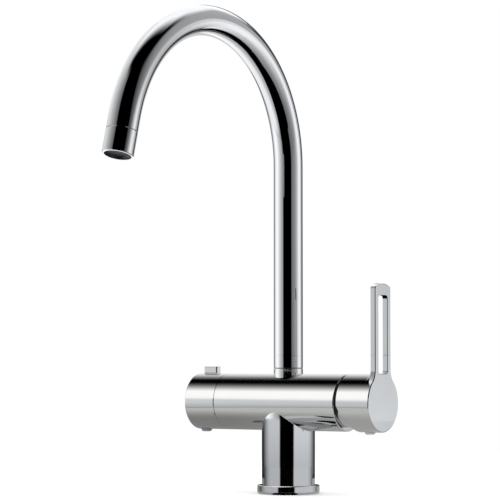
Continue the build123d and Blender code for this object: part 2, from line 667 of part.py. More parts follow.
# Lever handle: a hollow hub and a slotted blade in one casting, with the stem's socket inside
HUB_BORE_R = 22.3
HUB_CUT_START_Z = -2.0
HUB_CUT_ANGLE = 25.2
FACE_PLATE = 3.4
SOCKET_BOSS_R = 8.5
SOCKET_BOSS_START = 73.0
BLADE_BACK = LEVER_FACE - LEVER_THICKNESS
BLADE_HALF = LEVER_WIDTH / 2
BLADE_FLARE_R = 14.0
BLADE_JOIN = sqrt(HUB_R**2 - BLADE_HALF**2)
BLADE_SHOULDER = LEVER_TOP - 3.0
BLADE_CORNER_R = 2.2
BLADE_ROOT_R = 3.0
BLADE_SLOT_WIDTH = 14.6
BLADE_SLOT_BOTTOM = 24.3
BLADE_SLOT_TOP = 88.9
BLADE_SLOT_CORNER_R = 2.6
BLADE_SLOT_MIDDLE = (BLADE_SLOT_BOTTOM + BLADE_SLOT_TOP) / 2
FACE_EDGE_ROUND = 0.9
SLOT_EDGE_ROUND = 0.7
OVERLAP = 0.5
HANDLE_SCREW_X = 80.9
GRUB_SCREW_R = 2.5
GRUB_SCREW_LENGTH = 4.5
GRUB_HEX_ACROSS = 2.5
GRUB_HEX_DEPTH = 2.0
HANDLE_PLUG_R = 4.2

# The outline of the face plate: the disc, and the blade that flares into it
with BuildSketch(across(BLADE_BACK)) as plate_outline:
    with BuildLine():
        ThreePointArc((-BLADE_HALF, BLADE_JOIN), (0, -HUB_R), (BLADE_HALF, BLADE_JOIN))
        Line((BLADE_HALF, BLADE_JOIN), (BLADE_HALF, BLADE_SHOULDER))
        ThreePointArc((BLADE_HALF, BLADE_SHOULDER), (0, LEVER_TOP), (-BLADE_HALF, BLADE_SHOULDER))
        Line((-BLADE_HALF, BLADE_SHOULDER), (-BLADE_HALF, BLADE_JOIN))
    make_face()
    fillet(plate_outline.vertices().group_by(Axis.Y)[-1], BLADE_CORNER_R)
    fillet(plate_outline.vertices().group_by(Axis.Y)[0], BLADE_FLARE_R)

# The hollow curve between the hub and the back of the blade, as a ring cut to the plate's outline
with BuildPart() as blade_root:
    with BuildSketch(BARREL_SECTION):
        with BuildLine():
            Polyline(
                (BLADE_BACK - BLADE_ROOT_R, HUB_R),
                (BLADE_BACK - BLADE_ROOT_R, HUB_R - OVERLAP),
                (BLADE_BACK + OVERLAP, HUB_R - OVERLAP),
                (BLADE_BACK + OVERLAP, HUB_R + BLADE_ROOT_R),
                (BLADE_BACK, HUB_R + BLADE_ROOT_R),
            )
            CenterArc(
                (BLADE_BACK - BLADE_ROOT_R, HUB_R + BLADE_ROOT_R), BLADE_ROOT_R, start_angle=-90, arc_size=90
            )
        make_face()
    revolve(axis=BARREL_AXIS)
    extrude(plate_outline.sketch, amount=BLADE_ROOT_R, both=True, mode=Mode.INTERSECT)
    with BuildSketch(across(BLADE_BACK - BLADE_ROOT_R)):
        with Locations((0, BLADE_SLOT_MIDDLE)):
            RectangleRounded(BLADE_SLOT_WIDTH, BLADE_SLOT_TOP - BLADE_SLOT_BOTTOM, BLADE_SLOT_CORNER_R)
    extrude(amount=BLADE_ROOT_R + OVERLAP, mode=Mode.SUBTRACT)

with BuildPart() as lever_handle:
    extrude(plate_outline.sketch, amount=LEVER_THICKNESS)
    fillet(lever_handle.faces().sort_by(Axis.X)[-1].edges(), FACE_EDGE_ROUND)
    with BuildSketch(across(BLADE_BACK)):
        with Locations((0, BLADE_SLOT_MIDDLE)):
            RectangleRounded(BLADE_SLOT_WIDTH, BLADE_SLOT_TOP - BLADE_SLOT_BOTTOM, BLADE_SLOT_CORNER_R)
    extrude(amount=LEVER_THICKNESS, mode=Mode.SUBTRACT)
    fillet(lever_handle.faces().sort_by(Axis.X)[-1].inner_wires()[0].edges(), SLOT_EDGE_ROUND)
    with BuildSketch(across(HUB_START)):
        Circle(HUB_R)
    extrude(amount=BLADE_BACK - HUB_START)
    add(blade_root.part)
    # The hub's lower half is cut on a slant, which leaves room for the lever to tilt
    with BuildSketch(BARREL_SECTION):
        with BuildLine():
            cut_depth = (HUB_R + OVERLAP + HUB_CUT_START_Z) * tan(radians(HUB_CUT_ANGLE))
            Polyline(
                (HUB_START - OVERLAP, HUB_CUT_START_Z),
                (HUB_START, HUB_CUT_START_Z),
                (HUB_START + cut_depth, -HUB_R - OVERLAP),
                (HUB_START - OVERLAP, -HUB_R - OVERLAP),
                close=True,
            )
        make_face()
    extrude(amount=HUB_R + OVERLAP, both=True, mode=Mode.SUBTRACT)
    # The hollow hub, and the boss that grips the stem
    with BuildSketch(across(HUB_START)):
        Circle(HUB_BORE_R)
    extrude(amount=LEVER_FACE - FACE_PLATE - HUB_START, mode=Mode.SUBTRACT)
    with BuildSketch(across(SOCKET_BOSS_START)):
        Circle(SOCKET_BOSS_R)
    extrude(amount=LEVER_FACE - FACE_PLATE - SOCKET_BOSS_START)
    with BuildSketch(across(SOCKET_BOSS_START)):
        Rectangle(STEM_SQUARE, STEM_SQUARE)
    extrude(amount=STEM_END - SOCKET_BOSS_START, mode=Mode.SUBTRACT)
    # The grub screw's threaded hole in the boss, and the hole in the wall that its plug closes
    with BuildSketch(Plane.XY.offset(AXIS_Z - SOCKET_BOSS_R)):
        with Locations((HANDLE_SCREW_X, 0)):
            Circle(GRUB_SCREW_R)
    extrude(amount=SOCKET_BOSS_R, mode=Mode.SUBTRACT)
    with BuildSketch(Plane.XY.offset(AXIS_Z - HUB_R - OVERLAP)):
        with Locations((HANDLE_SCREW_X, 0)):
            Circle(HANDLE_PLUG_R)
    extrude(amount=HUB_R - HUB_BORE_R + 2 * OVERLAP, mode=Mode.SUBTRACT)
lever_handle.part.label = "lever_handle"
export_step(lever_handle.part, "parts/lever_handle.step")


def grub_screw(x, tip_z):
    """A headless screw that points up at x, with its tip at tip_z and a hexagon socket in its lower end."""
    with BuildPart() as screw:
        with BuildSketch(Plane.XY.offset(tip_z)):
            with Locations((x, 0)):
                Circle(GRUB_SCREW_R)
        extrude(amount=-GRUB_SCREW_LENGTH)
        with BuildSketch(Plane.XY.offset(tip_z - GRUB_SCREW_LENGTH)):
            with Locations((x, 0)):
                RegularPolygon(GRUB_HEX_ACROSS / 2, 6, major_radius=False)
        extrude(amount=GRUB_HEX_DEPTH, mode=Mode.SUBTRACT)
    return screw


def screw_plug(x, radius, bottom_z, top_z, rounding):
    """A round plug that closes the way to a grub screw from below."""
    with BuildPart() as plug:
        with BuildSketch(Plane.XY.offset(bottom_z)):
            with Locations((x, 0)):
                Circle(radius)
        extrude(amount=top_z - bottom_z)
        fillet(plug.edges().sort_by(Axis.Z)[0], rounding)
    return plug


handle_screw = grub_screw(HANDLE_SCREW_X, AXIS_Z - STEM_SQUARE / 2)
handle_screw.part.label = "handle_screw"
export_step(handle_screw.part, "parts/handle_screw.step")

HANDLE_PLUG_STAND = 1.8
HANDLE_PLUG_ROUND = 1.4

handle_plug = screw_plug(
    HANDLE_SCREW_X, HANDLE_PLUG_R, AXIS_Z - HUB_R - HANDLE_PLUG_STAND, AXIS_Z - HUB_BORE_R, HANDLE_PLUG_ROUND
)
handle_plug.part.label = "handle_plug"
export_step(handle_plug.part, "parts/handle_plug.step")

# Shut-off headwork: a brass body screwed into the barrel's left end, holding two ceramic discs
HEX_ACROSS = 26.0
HEX_END = -66.5
HEADWORK_GASKET_H = 1.0
HEADWORK_GASKET_R = 12.9
BONNET_R = 7.0
BONNET_END = -71.0
SPINDLE_BORE_END = -48.0
DISC_BORE_R = 6.6
NOSE_R = 8.6
WINDOW_START = -45.0
WINDOW_END = -39.5
VALVE_DISC_H = 3.0
VALVE_SEAL_H = 2.0
PASSAGE_OUT = 5.4
PASSAGE_IN = 2.0
PASSAGE_LENGTH = 5.2
VALVE_FIXED_START = VALVE_SEAT - VALVE_SEAL_H - VALVE_DISC_H
TURNING_START = VALVE_FIXED_START - FACE_GAP - VALVE_DISC_H
FORK_WIDTH = 11.0
FORK_THICKNESS = 2.4
FORK_FIT = 0.05
FORK_GRIP = 1.2

with BuildPart() as valve_headwork:
    with BuildSketch(across(HEX_END)):
        RegularPolygon(HEX_ACROSS / 2, 6, major_radius=False)
    extrude(amount=BARREL_LEFT - HEADWORK_GASKET_H - HEX_END)
    with BuildSketch(across(BARREL_LEFT - HEADWORK_GASKET_H)):
        Circle(HEADWORK_R)
    extrude(amount=THREAD_START - BARREL_LEFT + HEADWORK_GASKET_H)
    with BuildSketch(across(THREAD_START)):
        Circle(NOSE_R)
    extrude(amount=VALVE_SEAT - THREAD_START)
    with BuildSketch(across(BONNET_END)):
        Circle(BONNET_R)
    extrude(amount=HEX_END - BONNET_END)
    with BuildSketch(across(BONNET_END)):
        Circle(SPINDLE_R + RUNNING_FIT)
    extrude(amount=VALVE_SEAT - BONNET_END, mode=Mode.SUBTRACT)
    with BuildSketch(across(SPINDLE_BORE_END)):
        Circle(DISC_BORE_R)
    extrude(amount=VALVE_SEAT - SPINDLE_BORE_END, mode=Mode.SUBTRACT)
    # Two windows, front and back, let the water out of the nose
    with BuildSketch(Plane(origin=(0, -NOSE_R, AXIS_Z), x_dir=(1, 0, 0), z_dir=(0, 1, 0))):
        with Locations(((WINDOW_START + WINDOW_END) / 2, 0)):
            Rectangle(WINDOW_END - WINDOW_START, NOSE_R)
    extrude(amount=2 * NOSE_R, mode=Mode.SUBTRACT)
valve_headwork.part.label = "valve_headwork"
export_step(valve_headwork.part, "parts/valve_headwork.step")

with BuildPart() as headwork_gasket:
    with BuildSketch(across(BARREL_LEFT - HEADWORK_GASKET_H)):
        Circle(HEADWORK_GASKET_R)
        Circle(HEADWORK_R, mode=Mode.SUBTRACT)
    extrude(amount=HEADWORK_GASKET_H)
headwork_gasket.part.label = "headwork_gasket"
export_step(headwork_gasket.part, "parts/headwork_gasket.step")

with BuildPart() as valve_seal:
    with BuildSketch(across(VALVE_SEAT - VALVE_SEAL_H)):
        Circle(DISC_BORE_R)
        Circle(PASSAGE_OUT, mode=Mode.SUBTRACT)
    extrude(amount=VALVE_SEAL_H)
valve_seal.part.label = "valve_seal"
export_step(valve_seal.part, "parts/valve_seal.step")

# The fixed disc's passages are front and back, the turning disc's above and below, so it is shut at rest
with BuildPart() as valve_fixed_disc:
    with BuildSketch(across(VALVE_FIXED_START)):
        Circle(DISC_BORE_R)
        with Locations(((PASSAGE_IN + PASSAGE_OUT) / 2, 0), (-(PASSAGE_IN + PASSAGE_OUT) / 2, 0)):
            SlotOverall(PASSAGE_LENGTH, PASSAGE_OUT - PASSAGE_IN, rotation=90, mode=Mode.SUBTRACT)
    extrude(amount=VALVE_DISC_H)
valve_fixed_disc.part.label = "valve_fixed_disc"
export_step(valve_fixed_disc.part, "parts/valve_fixed_disc.step")

with BuildPart() as valve_turning_disc:
    with BuildSketch(across(TURNING_START)):
        Circle(DISC_BORE_R - RUNNING_FIT)
        with Locations((0, (PASSAGE_IN + PASSAGE_OUT) / 2), (0, -(PASSAGE_IN + PASSAGE_OUT) / 2)):
            SlotOverall(PASSAGE_LENGTH, PASSAGE_OUT - PASSAGE_IN, mode=Mode.SUBTRACT)
    extrude(amount=VALVE_DISC_H)
    with BuildSketch(across(TURNING_START)):
        Rectangle(2 * DISC_BORE_R, FORK_THICKNESS + 2 * FORK_FIT)
    extrude(amount=FORK_GRIP + FORK_FIT, mode=Mode.SUBTRACT)
valve_turning_disc.part.label = "valve_turning_disc"
export_step(valve_turning_disc.part, "parts/valve_turning_disc.step")

# Spindle: its blade turns the disc, two O-rings seal it and a clip keeps it in
SPINDLE_END = -88.5
SPINDLE_HEAD_END = -46.2
SPINDLE_GROOVES = (-53.0, -57.5)
SPINDLE_CORD_R = 0.75
SPINDLE_GROOVE_HALF = 1.0
SPINDLE_RING_MEAN_R = SPINDLE_R + RUNNING_FIT / 2 - SPINDLE_CORD_R
SPINDLE_GROOVE_FLOOR_R = SPINDLE_RING_MEAN_R - SPINDLE_CORD_R
CLIP_AT = -71.9
CLIP_H = 0.8
CLIP_GROOVE_R = 3.2
CLIP_R = 6.4
CLIP_GAP = 5.6
SPINDLE_FLAT = 3.0
SPINDLE_FLAT_START = -73.2

with BuildPart() as valve_spindle:
    with BuildSketch(across(SPINDLE_END)):
        Circle(SPINDLE_R)
    extrude(amount=SPINDLE_HEAD_END - SPINDLE_END)
    with BuildSketch(across(SPINDLE_BORE_END + FACE_GAP)):
        Circle(DISC_BORE_R - RUNNING_FIT)
    extrude(amount=SPINDLE_HEAD_END - SPINDLE_BORE_END - FACE_GAP)
    with BuildSketch(across(SPINDLE_HEAD_END)):
        Rectangle(FORK_WIDTH, FORK_THICKNESS)
    extrude(amount=TURNING_START + FORK_GRIP - SPINDLE_HEAD_END)
    with BuildSketch(BARREL_SECTION):
        for groove in SPINDLE_GROOVES:
            with Locations((groove, (SPINDLE_GROOVE_FLOOR_R + SPINDLE_R + OVERLAP) / 2)):
                Rectangle(2 * SPINDLE_GROOVE_HALF, SPINDLE_R + OVERLAP - SPINDLE_GROOVE_FLOOR_R)
        with Locations((CLIP_AT + CLIP_H / 2, (CLIP_GROOVE_R + SPINDLE_R + OVERLAP) / 2)):
            Rectangle(CLIP_H, SPINDLE_R + OVERLAP - CLIP_GROOVE_R)
    revolve(axis=BARREL_AXIS, mode=Mode.SUBTRACT)
    # A flat at the outer end, for the knob's screw
    with BuildSketch(across(SPINDLE_END, z=-SPINDLE_FLAT - SPINDLE_R)):
        Rectangle(2 * SPINDLE_R, 2 * SPINDLE_R)
    extrude(amount=SPINDLE_FLAT_START - SPINDLE_END, mode=Mode.SUBTRACT)
valve_spindle.part.label = "valve_spindle"
export_step(valve_spindle.part, "parts/valve_spindle.step")

with BuildPart() as spindle_o_rings:
    with BuildSketch(BARREL_SECTION):
        for groove in SPINDLE_GROOVES:
            with Locations((groove, SPINDLE_RING_MEAN_R)):
                Circle(SPINDLE_CORD_R)
    revolve(axis=BARREL_AXIS)
spindle_o_rings.part.label = "spindle_o_rings"
export_step(spindle_o_rings.part, "parts/spindle_o_rings.step")

with BuildPart() as spindle_clip:
    with BuildSketch(across(CLIP_AT)):
        Circle(CLIP_R)
        Circle(CLIP_GROOVE_R, mode=Mode.SUBTRACT)
        with Locations((0, CLIP_R)):
            Rectangle(CLIP_GAP, 2 * CLIP_R, mode=Mode.SUBTRACT)
    extrude(amount=CLIP_H)
spindle_clip.part.label = "spindle_clip"
export_step(spindle_clip.part, "parts/spindle_clip.step")

# Shut-off knob: a cup as wide as the barrel with a tab on top, gripping the spindle with a boss
KNOB_BORE_R = 21.0
KNOB_FLOOR = -89.5
KNOB_EDGE_ROUND = 1.0
KNOB_BOSS_R = 8.0
KNOB_BOSS_END = -73.6
TAB_START = -85.9
TAB_END = -71.9
TAB_WIDTH = 6.0
TAB_TOP = 30.1
TAB_FOOT = 22.0
TAB_CORNER_R = 1.3
TAB_TOP_ROUND = 0.8
TAB_FOOT_BLEND = 1.0
KNOB_SCREW_X = -84.8
KNOB_PLUG_R = 4.6
KNOB_PLUG_STAND = 2.2
KNOB_PLUG_ROUND = 2.0

with BuildPart() as shutoff_knob:
    with BuildSketch(across(KNOB_END)):
        Circle(BARREL_R)
    extrude(amount=KNOB_START - KNOB_END)
    fillet(shutoff_knob.edges().sort_by(Axis.X)[0], KNOB_EDGE_ROUND)
    chamfer(shutoff_knob.edges().sort_by(Axis.X)[-1], SEAM_CHAMFER)
    with BuildSketch(Plane.XY.offset(AXIS_Z + TAB_FOOT)):
        with Locations(((TAB_START + TAB_END) / 2, 0)):
            RectangleRounded(TAB_END - TAB_START, TAB_WIDTH, TAB_CORNER_R)
    extrude(amount=TAB_TOP - TAB_FOOT)
    fillet(shutoff_knob.faces().sort_by(Axis.Z)[-1].edges(), TAB_TOP_ROUND)
    foot_edges = [
        edge
        for edge in shutoff_knob.edges()
        if TAB_START - OVERLAP < edge.center().X < TAB_END + OVERLAP
        and AXIS_Z + TAB_FOOT + OVERLAP < edge.center().Z < AXIS_Z + BARREL_R + OVERLAP
        and abs(edge.center().Y) < TAB_WIDTH
    ]
    fillet(foot_edges, TAB_FOOT_BLEND)
    with BuildSketch(across(KNOB_FLOOR)):
        Circle(KNOB_BORE_R)
        Circle(KNOB_BOSS_R, mode=Mode.SUBTRACT)
    extrude(amount=KNOB_START - KNOB_FLOOR, mode=Mode.SUBTRACT)
    with BuildSketch(across(KNOB_BOSS_END)):
        Circle(KNOB_BOSS_R)
    extrude(amount=KNOB_START - KNOB_BOSS_END, mode=Mode.SUBTRACT)
    with BuildSketch(across(SPINDLE_END)):
        Circle(SPINDLE_R)
    extrude(amount=KNOB_BOSS_END - SPINDLE_END, mode=Mode.SUBTRACT)
    # The grub screw's threaded hole in the boss, and the hole in the wall that its plug closes
    with BuildSketch(Plane.XY.offset(AXIS_Z - KNOB_BOSS_R)):
        with Locations((KNOB_SCREW_X, 0)):
            Circle(GRUB_SCREW_R)
    extrude(amount=KNOB_BOSS_R, mode=Mode.SUBTRACT)
    with BuildSketch(Plane.XY.offset(AXIS_Z - BARREL_R - OVERLAP)):
        with Locations((KNOB_SCREW_X, 0)):
            Circle(KNOB_PLUG_R)
    extrude(amount=BARREL_R - KNOB_BORE_R + 2 * OVERLAP, mode=Mode.SUBTRACT)
shutoff_knob.part.label = "shutoff_knob"
export_step(shutoff_knob.part, "parts/shutoff_knob.step")

knob_screw = grub_screw(KNOB_SCREW_X, AXIS_Z - SPINDLE_FLAT)
knob_screw.part.label = "knob_screw"
export_step(knob_screw.part, "parts/knob_screw.step")

knob_plug = screw_plug(
    KNOB_SCREW_X, KNOB_PLUG_R, AXIS_Z - BARREL_R - KNOB_PLUG_STAND, AXIS_Z - KNOB_BORE_R, KNOB_PLUG_ROUND
)
knob_plug.part.label = "knob_plug"
export_step(knob_plug.part, "parts/knob_plug.step")
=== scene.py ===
# %% [markdown]
# A kitchen mixer tap in polished chrome.
# The tap was drawn in CAD, piece by piece, and this notebook gives it its looks. The shapes stay as they
# are. What is left to do is what makes chrome look like chrome: the studio that it mirrors, a camera, and a
# finish for each piece.

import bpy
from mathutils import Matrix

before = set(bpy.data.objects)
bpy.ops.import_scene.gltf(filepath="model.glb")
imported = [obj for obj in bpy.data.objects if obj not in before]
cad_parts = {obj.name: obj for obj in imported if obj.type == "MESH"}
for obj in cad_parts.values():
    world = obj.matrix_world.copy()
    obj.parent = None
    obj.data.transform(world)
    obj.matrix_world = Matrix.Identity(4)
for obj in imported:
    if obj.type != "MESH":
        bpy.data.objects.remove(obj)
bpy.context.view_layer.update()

# %% Bring in Blender and write down two small tools
import math

import bpy
from mathutils import Euler, Vector

MM = 0.001


def linear(hex_colour):
    """The linear RGBA of an sRGB hex colour such as "#C3C5C7"."""
    channels = [int(hex_colour[i : i + 2], 16) / 255 for i in (1, 3, 5)]
    return [c / 12.92 if c <= 0.04045 else ((c + 0.055) / 1.055) ** 2.4 for c in channels] + [1.0]


def add(tree, kind, inputs=None, **settings):
    """Adds a node. Its inputs are numbers, colours, sockets or nodes, which give their first output."""
    node = tree.nodes.new(kind)
    for name, value in settings.items():
        setattr(node, name, value)
    for name, value in (inputs or {}).items():
        if isinstance(value, bpy.types.Node):
            value = value.outputs[0]
        if isinstance(value, bpy.types.NodeSocket):
            tree.links.new(value, node.inputs[name])
        else:
            node.inputs[name].default_value = value
    return node


print("chrome grey in linear light:", [round(c, 3) for c in linear("#C3C5C7")])

# %% [markdown]
# The camera. The tap was photographed with a long lens from 1.9 m away, 34 degrees round to its right and a
# little above the worktop, so that its upright lines stay upright. A long lens far off draws the tap with
# little perspective. The picture is a square of 500 pixels, and the focal length was worked out for
# Blender's usual 36 mm sensor.

# %% Set up the camera
CAMERA_PLACE = (1.0253, -1.5631, 0.1136)
CAMERA_AZIMUTH = math.radians(34.26)
CAMERA_RISE = math.radians(2.835)
LENS = 158.28
SENSOR = 36.0

camera_data = bpy.data.cameras.new("camera")
camera_data.lens = LENS
camera_data.sensor_width = SENSOR
camera = bpy.data.objects.new("camera", camera_data)
camera.location = CAMERA_PLACE
camera.rotation_euler = Euler((math.pi / 2 + CAMERA_RISE, 0, CAMERA_AZIMUTH))
bpy.context.scene.collection.objects.link(camera)
bpy.context.scene.camera = camera
print("camera", round(Vector(CAMERA_PLACE).length, 3), "m from the foot of the tap")

# %% [markdown]
# Colours are shown as they are. Blender's film-like view softens whites, and a product picture on white
# paper wants its white clean, so the plain view is used.

# %% Show colours plainly
bpy.context.scene.view_settings.view_transform = "Standard"
bpy.context.scene.view_settings.look = "None"
print("view:", bpy.context.scene.view_settings.view_transform)

# %% [markdown]
# The studio. Chrome has almost no colour of its own, so what it mirrors is most of what is seen of it. A
# photographer hangs large soft lights at its sides and leaves the room behind the camera dark, which draws
# the black line down the middle of each round part. Here the sky holds that room. It is drawn by direction:
# an angle round the tap that starts at the camera and grows to the right, and a height above the horizon.
# It could be built from panels with lights behind them, but a sky has no edges in the wrong place when the
# tap is seen from another side, and no noise.


# %% Measure directions from the camera's side
def round_the_tap(tree, place):
    """How far a place lies to the right, back and top, and its angle: 0 in front, more to the right."""
    turned = add(tree, "ShaderNodeMapping", {"Vector": place, "Rotation": (0, 0, -CAMERA_AZIMUTH)})
    parts = add(tree, "ShaderNodeSeparateXYZ", {0: turned}).outputs
    to_front = add(tree, "ShaderNodeMath", {0: parts["Y"], 1: -1.0}, operation="MULTIPLY")
    turn = add(tree, "ShaderNodeMath", {0: parts["X"], 1: to_front}, operation="ARCTAN2")
    return parts, add(tree, "ShaderNodeMath", {0: turn}, operation="DEGREES")


def glow(tree, angle, centre, width, peak):
    """A lamp behind a cloth: brightest at its centre angle, and at a width from there half as bright."""
    away = add(tree, "ShaderNodeMath", {0: angle, 1: centre}, operation="SUBTRACT")
    share = add(tree, "ShaderNodeMath", {0: away, 1: width}, operation="DIVIDE")
    square = add(tree, "ShaderNodeMath", {0: share, 1: 2.0}, operation="POWER")
    fall = add(tree, "ShaderNodeMath", {0: square, 1: 1.0}, operation="ADD")
    return add(tree, "ShaderNodeMath", {0: peak, 1: fall}, operation="DIVIDE")


world = bpy.data.worlds.new("studio")
world.use_nodes = True
bpy.context.scene.world = world
sky = world.node_tree
sky.nodes.clear()
direction = add(sky, "ShaderNodeTexCoord").outputs["Generated"]
sky_parts, sky_angle = round_the_tap(sky, direction)
to_back, to_top = sky_parts["Y"], sky_parts["Z"]
off_front = add(sky, "ShaderNodeMath", {0: sky_angle}, operation="ABSOLUTE")
print("sky nodes so far:", len(sky.nodes))

# %% [markdown]
# Light and dark meet in soft steps. A soft step is a Map Range node, and each line of the table below is
# one: the value that it reads, where the step starts and ends, and the levels before and after it. Those are
# the node's first five inputs, in the same order, so a numbered line is all that the node needs. Angles are
# in degrees.
#
# Round the tap stand a bright light on the left and a slightly weaker one on the right. Below the horizon
# the right one leans back. The room is black from 42 degrees left of the camera to 25 degrees right of it.
# There is a white wall behind the tap, with a dark gap between it and each light, which gives the round
# parts their thin dark edges.

# %% Light the sides
SOFT = {"interpolation_type": "SMOOTHSTEP"}

side_steps = {
    "end_of_left_light": (sky_angle, -156.0, -116.0, 0.25, 1.0),
    "lean_back": (to_top, 0.03, -0.10, 0.0, 10.0),
    "left_of_dark": (sky_angle, -38.0, -46.0, 0.0, 1.0),
    "right_of_dark": (sky_angle, 21.0, 29.0, 0.0, 1.0),
    "before_gap": (sky_angle, 139.0, 126.0, 0.05, 1.0),
    "back_wall": (off_front, 150.0, 160.0, 0.0, 0.85),
}
side = {
    name: add(sky, "ShaderNodeMapRange", dict(enumerate(line)), **SOFT)
    for name, line in side_steps.items()
}

left_light = glow(sky, sky_angle, centre=-100.0, width=36.0, peak=1.7)
left_light = add(sky, "ShaderNodeMath", {0: left_light, 1: side["end_of_left_light"]}, operation="MULTIPLY")
leant = add(sky, "ShaderNodeMath", {0: sky_angle, 1: side["lean_back"]}, operation="SUBTRACT")
right_light = glow(sky, leant, centre=95.0, width=24.0, peak=1.5)
lights = add(sky, "ShaderNodeMath", {0: left_light, 1: right_light}, operation="ADD")
beside_dark = add(sky, "ShaderNodeMath", {0: side["left_of_dark"], 1: side["right_of_dark"]}, operation="ADD")
lights = add(sky, "ShaderNodeMath", {0: lights, 1: beside_dark}, operation="MULTIPLY")
lights = add(sky, "ShaderNodeMath", {0: lights, 1: side["before_gap"]}, operation="MULTIPLY")
sides = add(sky, "ShaderNodeMath", {0: lights, 1: side["back_wall"]}, operation="MAXIMUM")
print("soft steps beside the tap:", len(side))

# %% [markdown]
# Above the lights the walls are greyer and grow lighter towards the back, and the dark room reaches further
# round to the right. The two far corners are lighter, and the dark gap on the right ends some 25 degrees
# up. Higher still the right wall is bright at the back. The ceiling is lit from behind the tap: it is dark
# over the camera and white over the back wall. Heights are the sine of the angle above the horizon.

# %% Light the upper walls and the ceiling
upper_steps = {
    "left_wall": (sky_angle, -20.0, -160.0, 0.12, 1.32),
    "left_of_dark": (sky_angle, -40.0, -47.0, 0.0, 1.0),
    "right_wall": (sky_angle, 30.0, 130.0, 0.0, 0.66),
    "right_of_dark": (sky_angle, 49.0, 54.0, 0.0, 1.0),
    "far_corner": (sky_angle, 132.0, 152.0, 0.0, 0.9),
    "over_gap": (to_top, 0.38, 0.52, 0.0, 1.0),
    "high_right": (sky_angle, 90.0, 140.0, 0.0, 1.6),
    "up_to_high_right": (to_top, 0.60, 0.76, 0.0, 1.0),
    "left_corner": (sky_angle, -150.0, -162.0, 0.0, 1.5),
    "ceiling": (to_back, -0.12, 0.36, 0.0, 1.65),
    "above_lights": (to_top, 0.10, 0.30, 0.0, 1.0),
    "near_top": (to_top, 0.80, 0.90, 0.0, 1.0),
}
upper = {
    name: add(sky, "ShaderNodeMapRange", dict(enumerate(line)), **SOFT)
    for name, line in upper_steps.items()
}

left_pair = {0: upper["left_wall"], 1: upper["left_of_dark"]}
left_wall = add(sky, "ShaderNodeMath", left_pair, operation="MULTIPLY")
left_wall = add(sky, "ShaderNodeMath", {0: left_wall, 1: upper["left_corner"]}, operation="MAXIMUM")
right_pair = {0: upper["right_wall"], 1: upper["right_of_dark"]}
right_wall = add(sky, "ShaderNodeMath", right_pair, operation="MULTIPLY")
right_wall = add(sky, "ShaderNodeMath", {0: right_wall, 1: upper["far_corner"]}, operation="ADD")
in_gap = add(sky, "ShaderNodeMix", {0: upper["over_gap"], 2: side["before_gap"], 3: 1.0}, data_type="FLOAT")
right_wall = add(sky, "ShaderNodeMath", {0: right_wall, 1: in_gap}, operation="MULTIPLY")
to_high = {0: upper["up_to_high_right"], 2: right_wall, 3: upper["high_right"]}
right_wall = add(sky, "ShaderNodeMix", to_high, data_type="FLOAT")
walls = add(sky, "ShaderNodeMath", {0: left_wall, 1: right_wall}, operation="ADD")
overhead = add(sky, "ShaderNodeMix", {0: upper["near_top"], 2: walls, 3: upper["ceiling"]}, data_type="FLOAT")
room = add(sky, "ShaderNodeMix", {0: upper["above_lights"], 2: sides, 3: overhead}, data_type="FLOAT")
print("soft steps above the tap:", len(upper))

# %% [markdown]
# Only the mirror sees the room. The camera sees plain white behind the tap, and matt surfaces get an even
# light from all sides, as under a tent.

# %% Show the room to the mirror only
WHITE_BACKGROUND = 1.0
TENT_LIGHT = 1.25

ray = add(sky, "ShaderNodeLightPath").outputs
strength = room
for kind, level in {"Is Camera Ray": WHITE_BACKGROUND, "Is Diffuse Ray": TENT_LIGHT}.items():
    strength = add(sky, "ShaderNodeMix", {0: ray[kind], 2: strength, 3: level}, data_type="FLOAT")
backdrop = add(sky, "ShaderNodeBackground", {"Color": linear("#FFFFFF"), "Strength": strength})
add(sky, "ShaderNodeOutputWorld", {"Surface": backdrop})
print("sky nodes:", len(sky.nodes))

# %% [markdown]
# The floor is a plain sheet of pale paper that fades into the white behind it. The chrome doesn't mirror
# this sheet, because a wide white floor would fill the underside of the barrel and the inside of the arch
# with white. It mirrors a small glowing table top instead, with painted shade of the tap on it. Both are
# stage, so they aren't part of the tap.

# %% Make flat stage pieces
CIRCLE_POINTS = 96


def stage_mesh(name, points, faces, material):
    """A piece of the stage from points in metres."""
    mesh = bpy.data.meshes.new(name)
    mesh.from_pydata(points, [], faces)
    mesh.materials.append(material)
    obj = bpy.data.objects.new(name, mesh)
    bpy.context.scene.collection.objects.link(obj)
    return obj


def only_mirrored(obj):
    """Only mirror rays meet this stage piece: the camera looks through it and it throws no shadow."""
    obj.visible_camera = obj.visible_diffuse = obj.visible_shadow = False
    obj.visible_transmission = obj.visible_volume_scatter = False


def circle(radius, height):
    """Points round the tap's axis."""
    turns = [2 * math.pi * i / CIRCLE_POINTS for i in range(CIRCLE_POINTS)]
    return [(radius * math.cos(a), radius * math.sin(a), height) for a in turns]


def new_material(name):
    """An empty material, its node tree and the object's own coordinates in metres."""
    material = bpy.data.materials.new(name)
    material.use_nodes = True
    material.node_tree.nodes.clear()
    return material, material.node_tree, add(material.node_tree, "ShaderNodeTexCoord").outputs["Object"]


def distance_from_axis(tree, place):
    """How far a place is from the tap's upright axis, in metres."""
    flat = add(tree, "ShaderNodeVectorMath", {0: place, 1: (1, 1, 0)}, operation="MULTIPLY")
    return add(tree, "ShaderNodeVectorMath", {0: flat}, operation="LENGTH").outputs["Value"]


# %% Lay the pale paper
FLOOR_RADIUS = 1.0
FLOOR_LEVEL = -0.2 * MM
FADE_STARTS = 0.2
FADE_ENDS = 0.9
PAPER_ROUGHNESS = 0.9

